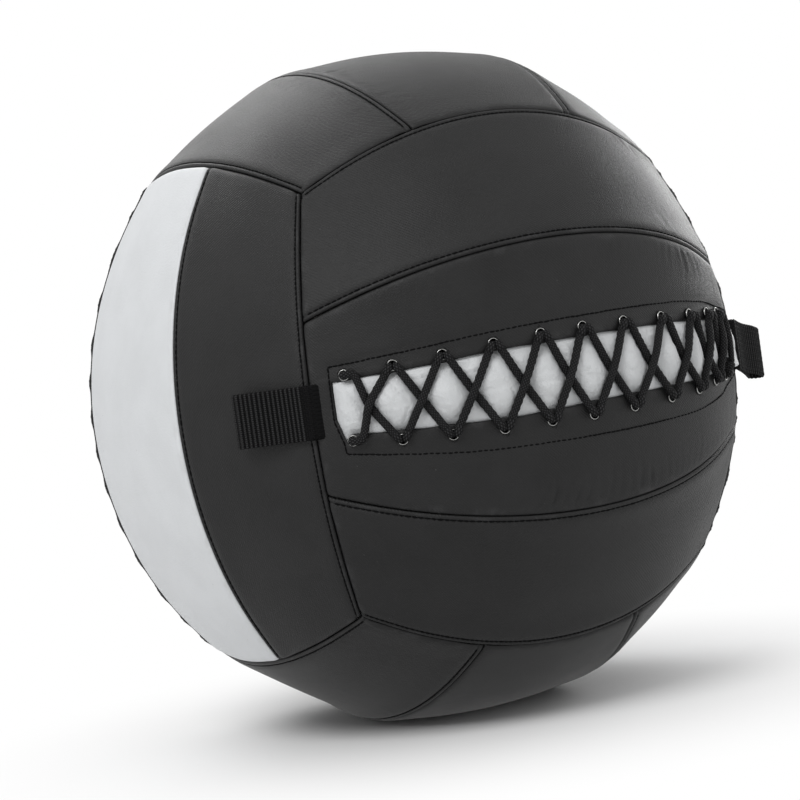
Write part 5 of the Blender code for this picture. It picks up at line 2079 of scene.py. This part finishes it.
@dataclass
class WebbingLoop:
    """A flat loop of webbing, doubled back and sewn into an upright seam.

    Attributes:
        side: Where it is sewn in.
        lift_degrees: How far it stands off the side face at rest.
        hang: How far its far end hangs down, as a share of its length.
        skirt: How far its root reaches over the front panel from the seam.
        width: Width of the webbing.
        thickness: Its thickness.
        length: Length of the loop from its seam.
        sewn: Length over which its two layers are sewn together.
        eye: Gap between the layers at the far end.
        layer_gap: Gap between them at the seam.
        lift: Height over the panel.
        drop: How far its middle lies below the middle of the strip.
        rib: Distance between ribs.
        rib_height: Height of a rib.
        rib_start: Distance from the seam at which the ribs start.
        rib_rise: Distance over which they then reach their height.
        selvedge: How far a rib stands out at the webbing's edges.
        clear: Gap between the webbing and what it lies on.
        nose: How far the two layers run straight out of the seam.
        edge_round: Width over which the webbing's edges are rounded.
        root_radius: Radius of the root round the axis.
        foot_radius: Radius to which it narrows on the front panel.
        root_round: Length over which the root's ends are rounded.
        step: Distance between rows of the mesh.
    """

    side: Side
    lift_degrees: float
    hang: float
    skirt: float
    width: float = 0.0265
    thickness: float = 0.0013
    length: float = 0.040
    sewn: float = 0.011
    eye: float = 0.0066
    layer_gap: float = 0.0004
    lift: float = 0.0003
    drop: float = 0.0009
    rib: float = 0.0023
    rib_height: float = 0.00042
    rib_start: float = 0.0022
    rib_rise: float = 0.001
    selvedge: float = 0.0003
    clear: float = 0.0003
    nose: float = 0.004
    edge_round: float = 0.0009
    root_radius: float = 0.0019
    foot_radius: float = 0.0006
    root_round: float = 0.0014
    step: float = 0.00034

    @property
    def face(self) -> Face:
        """Return the side face that the loop lies against."""
        return Face.RIGHT if self.side is Side.RIGHT else Face.LEFT

    def root(self) -> Array:
        """Return the axis on which the loop swings, just outside its seam."""
        ridge = SHELL.place(self.face, 0, SHELL.length(self.face, 0) / 2, 0.0)[0]
        half = self.thickness + self.layer_gap / 2
        return ridge + unit((self.side.value, -1.0, 0.0)) * (half + self.clear)

    def over_side(self, distance: float, height: float) -> Array:
        """Return the place in plan at a distance from the seam and a height over the panel."""
        half = SHELL.length(self.face, 0) / 2
        points = SHELL.place(self.face, 0, np.array((half, half)),
                             np.array((distance, distance + 0.0002)))[0]
        way = unit(points[1, :2] - points[0, :2])
        return points[0, :2] + np.array((way[1], -way[0])) * self.side.value * height

    def way(self) -> Array:
        """Return the way in plan in which the loop lies before it is lifted."""
        centre = self.lift + self.clear + self.thickness + self.layer_gap / 2
        return unit(self.over_side(self.sewn, centre) - self.root()[:2])

    def middle_line(self) -> Array:
        """Return the webbing's middle line in plan, from the axis round the eye and back."""
        half = self.thickness / 2
        base = self.lift + self.clear
        fold = self.eye / 2
        reach = self.length - self.thickness - fold
        centre = base + self.thickness + self.layer_gap / 2
        near, far = [], []
        for share in (0.0, 0.3, 0.65, 1.0):
            distance = self.sewn + (reach - self.sewn) * share
            ease = float(eased(share))
            gap = self.layer_gap + (self.eye - self.layer_gap) * ease
            start = centre - self.layer_gap / 2
            low = start + (base + self.thickness - start) * ease
            near.append((distance, low - half))
            far.append((distance, low + gap + half))
        middle = base + self.thickness + fold
        turn = [(reach + (fold + half) * math.sin(angle), middle - (fold + half) * math.cos(angle))
                for angle in np.linspace(0, math.pi, 9)[1:-1]]
        root = self.root()[:2]
        line = [self.over_side(*pair) - root for pair in near + turn + far[::-1]]
        out = unit(line[-1] - line[0]) * (half + self.layer_gap / 2)
        way = unit(line[0] + line[-1])
        nose = way * self.nose
        return np.array([-out, nose - out, *line, nose + out, out])

    def build(self, wardrobe: Wardrobe) -> list[Object]:
        """Build the loop and the root that holds it in the seam."""
        line = smooth_path(self.middle_line(), 8)
        line = even_path(np.column_stack((line, np.zeros(len(line)))), self.step)[:, :2]
        lengths = travelled(line)
        ways = unit(np.gradient(line, axis=0))
        out = np.stack((ways[:, 1], -ways[:, 0]), 1)
        from_root = np.minimum(lengths, lengths[-1] - lengths)
        wave = 0.5 + 0.5 * np.cos(2 * math.pi * lengths / self.rib)
        fade = eased((from_root - self.rib_start) / self.rib_rise)
        half = self.width / 2
        section = np.linspace(-1, 1, 31)
        beyond = (np.abs(section) * half - half + self.edge_round) / self.edge_round
        edge = np.sqrt(1 - np.clip(beyond, 0, 1) ** 2)
        thick = self.thickness / 2 * (0.35 + 0.65 * edge)
        yarn = 1 + 0.25 * np.cos(section * math.pi * 9)
        ridge = self.rib_height * (wave * fade - 0.5)[:, None] * yarn * edge
        offsets = np.stack((thick + ridge, -thick - ridge[:, ::-1]), 0)
        root = self.root()
        angle = -self.side.value * math.radians(self.lift_degrees)
        turn = np.array(((math.cos(angle), -math.sin(angle)), (math.sin(angle), math.cos(angle))))
        rows = []
        heights = (section * (half + (self.selvedge * (wave - 0.5) * fade)[:, None])) - self.drop
        sunk = -self.hang * (line @ self.way())
        for sign, offset in ((1, offsets[0]), (-1, offsets[1][:, ::-1])):
            tall = heights if sign > 0 else heights[:, ::-1]
            plan = line[:, None] + out[:, None] * offset[..., None]
            plan = plan @ turn.T + root[:2]
            high = tall + sunk[:, None] + root[2]
            rows.append(np.concatenate((plan, high[..., None]), -1))
        grid = np.concatenate((rows[0], rows[1], rows[0][:, :1]), 1)
        across = np.concatenate((section * half, section[::-1] * half, section[:1] * half))
        flat = np.stack(np.broadcast_arrays(lengths[:, None], across[None, :]), -1)
        mark = np.broadcast_to((wave * fade)[:, None], grid.shape[:2])
        cloth = Cloth.grid(grid, flat, {"rib": mark}, round_v=True)
        cloth.cap(grid.shape[1] - 1)
        name = f"{self.face.value}_webbing_loop"
        piece = cloth.piece(name + "_band", wardrobe.webbing)
        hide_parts(name)
        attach(piece, f"{self.face.value}_loop")
        return [piece, self.welt(wardrobe)]

    def welt(self, wardrobe: Wardrobe) -> Object:
        """Build the webbing's root: round the axis, and smooth over the front panel's end."""
        root, half = self.root(), self.width / 2
        tall = np.linspace(-half, half, 27)
        end = 0.0 if self.side is Side.LEFT else LACING.length
        foot = LACING.place(np.full(27, end - self.side.value * self.skirt),
                            tall - self.drop, 0.0)[0]
        angles = np.linspace(0, 2 * math.pi, 41)
        ring = np.stack((np.cos(angles), np.sin(angles)), 1)
        centre = root[:2] - unit((self.side.value, -1.0)) * self.clear
        beyond = (np.abs(tall) - half + self.root_round) / self.root_round
        edge = np.sqrt(np.maximum(1 - np.clip(beyond, 0, 1) ** 2, 0.05))
        rows = []
        for height, low, share in zip(tall, foot, edge):
            big, small = self.root_radius * share, self.foot_radius * share
            near, far = ring @ centre + big, ring @ low[:2] + small
            plan = np.where((near >= far)[:, None], centre + big * ring, low[:2] + small * ring)
            level = np.full(len(plan), root[2] - self.drop + height)
            rows.append(np.column_stack((plan, level)))
        grid = np.array(rows)
        flat = np.stack(np.broadcast_arrays(angles[None, :] * 0.002, tall[:, None]), -1)
        cloth = Cloth.grid(grid, flat, {"rib": np.zeros(grid.shape[:2])}, round_v=True, flip=True)
        cloth.cap(grid.shape[1] - 1)
        piece = cloth.piece(f"{self.face.value}_loop_root", wardrobe.webbing)
        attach(piece, "ball")
        return piece


# Filling


@dataclass
class Filling:
    """What the shell holds: liner bag, fibre and the dense pouch, as soft finer bodies.

    Attributes:
        lump: How far their faces are uneven.
        lump_size: Width of a lump.
        weld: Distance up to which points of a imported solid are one.
        levels: How often its faces are divided.
    """

    lump: float = 0.0006
    lump_size: float = 0.03
    weld: float = 0.00001
    levels: int = 2

    def finer(self, node: str, name: str) -> Object:
        """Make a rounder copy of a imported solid.

        Args:
            node: The solid's name.
            name: The new piece's name.

        Returns:
            The piece.
        """
        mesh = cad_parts[node].data.copy()
        mesh.name = name
        piece = bpy.data.objects.new(name, mesh)
        bpy.context.scene.collection.objects.link(piece)
        work = bmesh.new()
        work.from_mesh(mesh)
        bmesh.ops.remove_doubles(work, verts=work.verts, dist=self.weld)
        bmesh.ops.recalc_face_normals(work, faces=work.faces)
        work.to_mesh(mesh)
        work.free()
        smooth = piece.modifiers.new("soft", "SUBSURF")
        smooth.levels = smooth.render_levels = self.levels
        settle_modifiers(piece)
        return piece

    def softened(self, node: str, name: str, material: Material, shrink: float) -> Object:
        """Make a fine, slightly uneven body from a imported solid.

        Args:
            node: The solid's name.
            name: The new piece's name.
            material: Its material.
            shrink: How far its face moves in, to stay clear of its neighbours.

        Returns:
            The piece.
        """
        piece = self.finer(node, name)
        mesh = piece.data
        points, normals = np.empty((2, len(mesh.vertices) * 3), np.float32)
        mesh.vertices.foreach_get("co", points)
        mesh.vertices.foreach_get("normal", normals)
        points, normals = points.reshape(-1, 3), normals.reshape(-1, 3)
        size = self.lump_size
        lumps = soft_noise(points[:, 0] / size + points[:, 2] / size * 0.6, points[:, 1] / size, 4.0)
        points = points + normals * (self.lump * (lumps - 1) / 2 - shrink)[:, None]
        middle = np.array((0.0, 0.0, SHELL.centre_height))
        points = SHELL.slackened(points - middle) + middle
        mesh.vertices.foreach_set("co", np.ascontiguousarray(points, np.float32).ravel())
        layer = mesh.uv_layers.get("metres") or mesh.uv_layers.new(name="metres")
        corners = np.empty(len(mesh.loops), np.int32)
        mesh.loops.foreach_get("vertex_index", corners)
        away = points - points.mean(0)
        radius = np.linalg.norm(away, axis=1)
        flat = np.stack((np.arctan2(away[:, 0], -away[:, 1]) * radius.mean(),
                         np.arcsin(np.clip(away[:, 2] / radius, -1, 1)) * radius.mean()), 1)
        layer.data.foreach_set("uv", np.ascontiguousarray(flat[corners], np.float32).ravel())
        mesh.materials.clear()
        mesh.materials.append(material)
        mesh.shade_smooth()
        mesh.update()
        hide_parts(node)
        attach(piece, "ball")
        return piece

    def build(self, wardrobe: Wardrobe) -> list[Object]:
        """Build the three bodies inside the shell."""
        liner = self.softened("inner_liner", "inner_liner_bag", wardrobe.canvas, 0.0)
        fill = self.softened("soft_fill", "soft_fill_fibre", wardrobe.fibre, 0.0004)
        pouch = self.softened("weight_pouch", "weight_pouch_bag", wardrobe.pouch, 0.0)
        return [liner, fill, pouch]


# Studio


@dataclass
class Studio:
    """Pale floor, soft light and the camera of the photograph.

    Attributes:
        camera_place: Where the camera stands.
        camera_right: The way to the right of its picture.
        camera_down: The way down its picture.
        lens: Focal length in millimetres on a sensor 36 mm wide.
        floor_size: Half the side of the floor.
        paling: Distances from the ball's middle from which the floor grows white, and is white.
        world_strength: Light from all round.
    """

    camera_place: Triple = (-0.65943, -1.23426, 0.22337)
    camera_right: Triple = (0.87326966, -0.46662644, -0.14021366)
    camera_down: Triple = (-0.14201915, 0.03150508, -0.98936242)
    lens: float = 115.03
    floor_size: float = 6.0
    paling: Pair = (0.06, 0.3)
    world_strength: float = 0.42

    def build(self) -> None:
        """Set up floor, world, lamps and camera."""
        self.floor()
        self.world()
        self.lamp("key", (-1.8, -1.3, 2.2), 1.5, 46.0)
        self.lamp("fill", (1.9, -1.6, 1.2), 1.8, 7.0)
        self.lamp("back", (0.1, 1.9, 2.1), 1.5, 22.0)
        self.lamp("side", (2.1, 1.2, 0.8), 1.1, 17.0)
        self.camera()
        bpy.context.scene.view_settings.view_transform = "Standard"

    def floor(self) -> None:
        """Lay the floor: pale near the ball, and white further out."""
        size = self.floor_size
        points = np.array([[(x, y, 0.0) for y in (-size, size)] for x in (-size, size)], float)
        cloth = Cloth.grid(points, points[..., :2])
        material = bpy.data.materials.new("studio_floor")
        material.use_nodes = True
        nodes = Nodes(material.node_tree)
        shader = material.node_tree.nodes["Principled BSDF"]
        out = material.node_tree.nodes["Material Output"]
        shader.inputs["Base Color"].default_value = (0.9, 0.9, 0.9, 1)
        shader.inputs["Roughness"].default_value = 0.9
        shader.inputs["Specular IOR Level"].default_value = 0.0
        white = nodes.add("ShaderNodeEmission", Color=(1.0, 1.0, 1.0, 1.0), Strength=1.0)
        place = nodes.add("ShaderNodeTexCoord").outputs["Object"]
        away = nodes.add("ShaderNodeVectorMath", place, operation="LENGTH").outputs["Value"]
        far = nodes.step(away, *self.paling)
        rays = nodes.add("ShaderNodeLightPath").outputs
        mirrored = nodes.times(nodes.plus(rays["Is Glossy Ray"], rays["Is Transmission Ray"]),
                               nodes.between(far, 0.4, 1.0))
        seen = nodes.math("ADD", nodes.times(far, rays["Is Camera Ray"]), mirrored, clamp=True)
        mix = nodes.add("ShaderNodeMixShader", seen, shader.outputs[0], white.outputs[0])
        nodes.feed(out.inputs["Surface"], mix.outputs[0])
        cloth.piece("studio_floor", material)

    def world(self) -> None:
        """Light the scene from all round, white where the camera or metal looks at it."""
        world = bpy.data.worlds.new("studio")
        bpy.context.scene.world = world
        world.use_nodes = True
        nodes = Nodes(world.node_tree)
        background = world.node_tree.nodes["Background"]
        rays = nodes.add("ShaderNodeLightPath").outputs
        mirrored = nodes.plus(rays["Is Glossy Ray"], rays["Is Transmission Ray"])
        seen = nodes.math("ADD", rays["Is Camera Ray"], mirrored, clamp=True)
        nodes.feed(background.inputs["Strength"], nodes.between(seen, self.world_strength, 1.0))
        background.inputs["Color"].default_value = (1, 1, 1, 1)

    def lamp(self, name: str, place: Triple, size: float, power: float) -> None:
        """Hang one soft lamp that looks at the ball."""
        light = bpy.data.lights.new(name, "AREA")
        light.shape = "DISK"
        light.size = size
        light.energy = power
        lamp = bpy.data.objects.new(name, light)
        bpy.context.scene.collection.objects.link(lamp)
        lamp.location = place
        aim = Vector((0, 0, SHELL.centre_height)) - Vector(place)
        lamp.rotation_euler = aim.to_track_quat("-Z", "Y").to_euler()

    def camera(self) -> None:
        """Set the camera where the photograph was taken from."""
        data = bpy.data.cameras.new("photo_camera")
        data.lens = self.lens
        data.sensor_width = 36.0
        data.clip_start = 0.05
        camera = bpy.data.objects.new("photo_camera", data)
        bpy.context.scene.collection.objects.link(camera)
        right = Vector(self.camera_right).normalized()
        up = -Vector(self.camera_down).normalized()
        back = right.cross(up)
        turn = Matrix((right, up, back)).transposed().to_4x4()
        camera.matrix_world = Matrix.Translation(self.camera_place) @ turn
        bpy.context.scene.camera = camera


# The ball


def report(pieces: Sequence[Object]) -> None:
    """Log each piece."""
    for piece in pieces:
        LOG.info("built %s: %d vertices", piece.name, len(piece.data.vertices))


def main() -> None:
    """Build the ball, piece by piece, and the studio round it."""
    logging.basicConfig(level=logging.INFO, format="%(name)s %(message)s")
    Studio().build()
    wardrobe = Wardrobe()
    for face in Face:
        for strip in range(3):
            if (face, strip) != (Face.FRONT, 1):
                report(Panel(PanelShape(face, strip)).build(wardrobe))
    laced = LacedPanel()
    cutter = hole_cutter()
    report(laced.build(wardrobe, cutter))
    report(Tongue().build(wardrobe, laced.shape, cutter))
    bpy.data.objects.remove(cutter)
    report(Eyelets().build(wardrobe))
    report(Lace().build(wardrobe))
    report(WebbingLoop(Side.LEFT, 0.0, 0.0, 0.0045).build(wardrobe))
    report(WebbingLoop(Side.RIGHT, 11.0, 0.2, 0.0024).build(wardrobe))
    report(Filling().build(wardrobe))


if __name__ == "__main__":
    main()
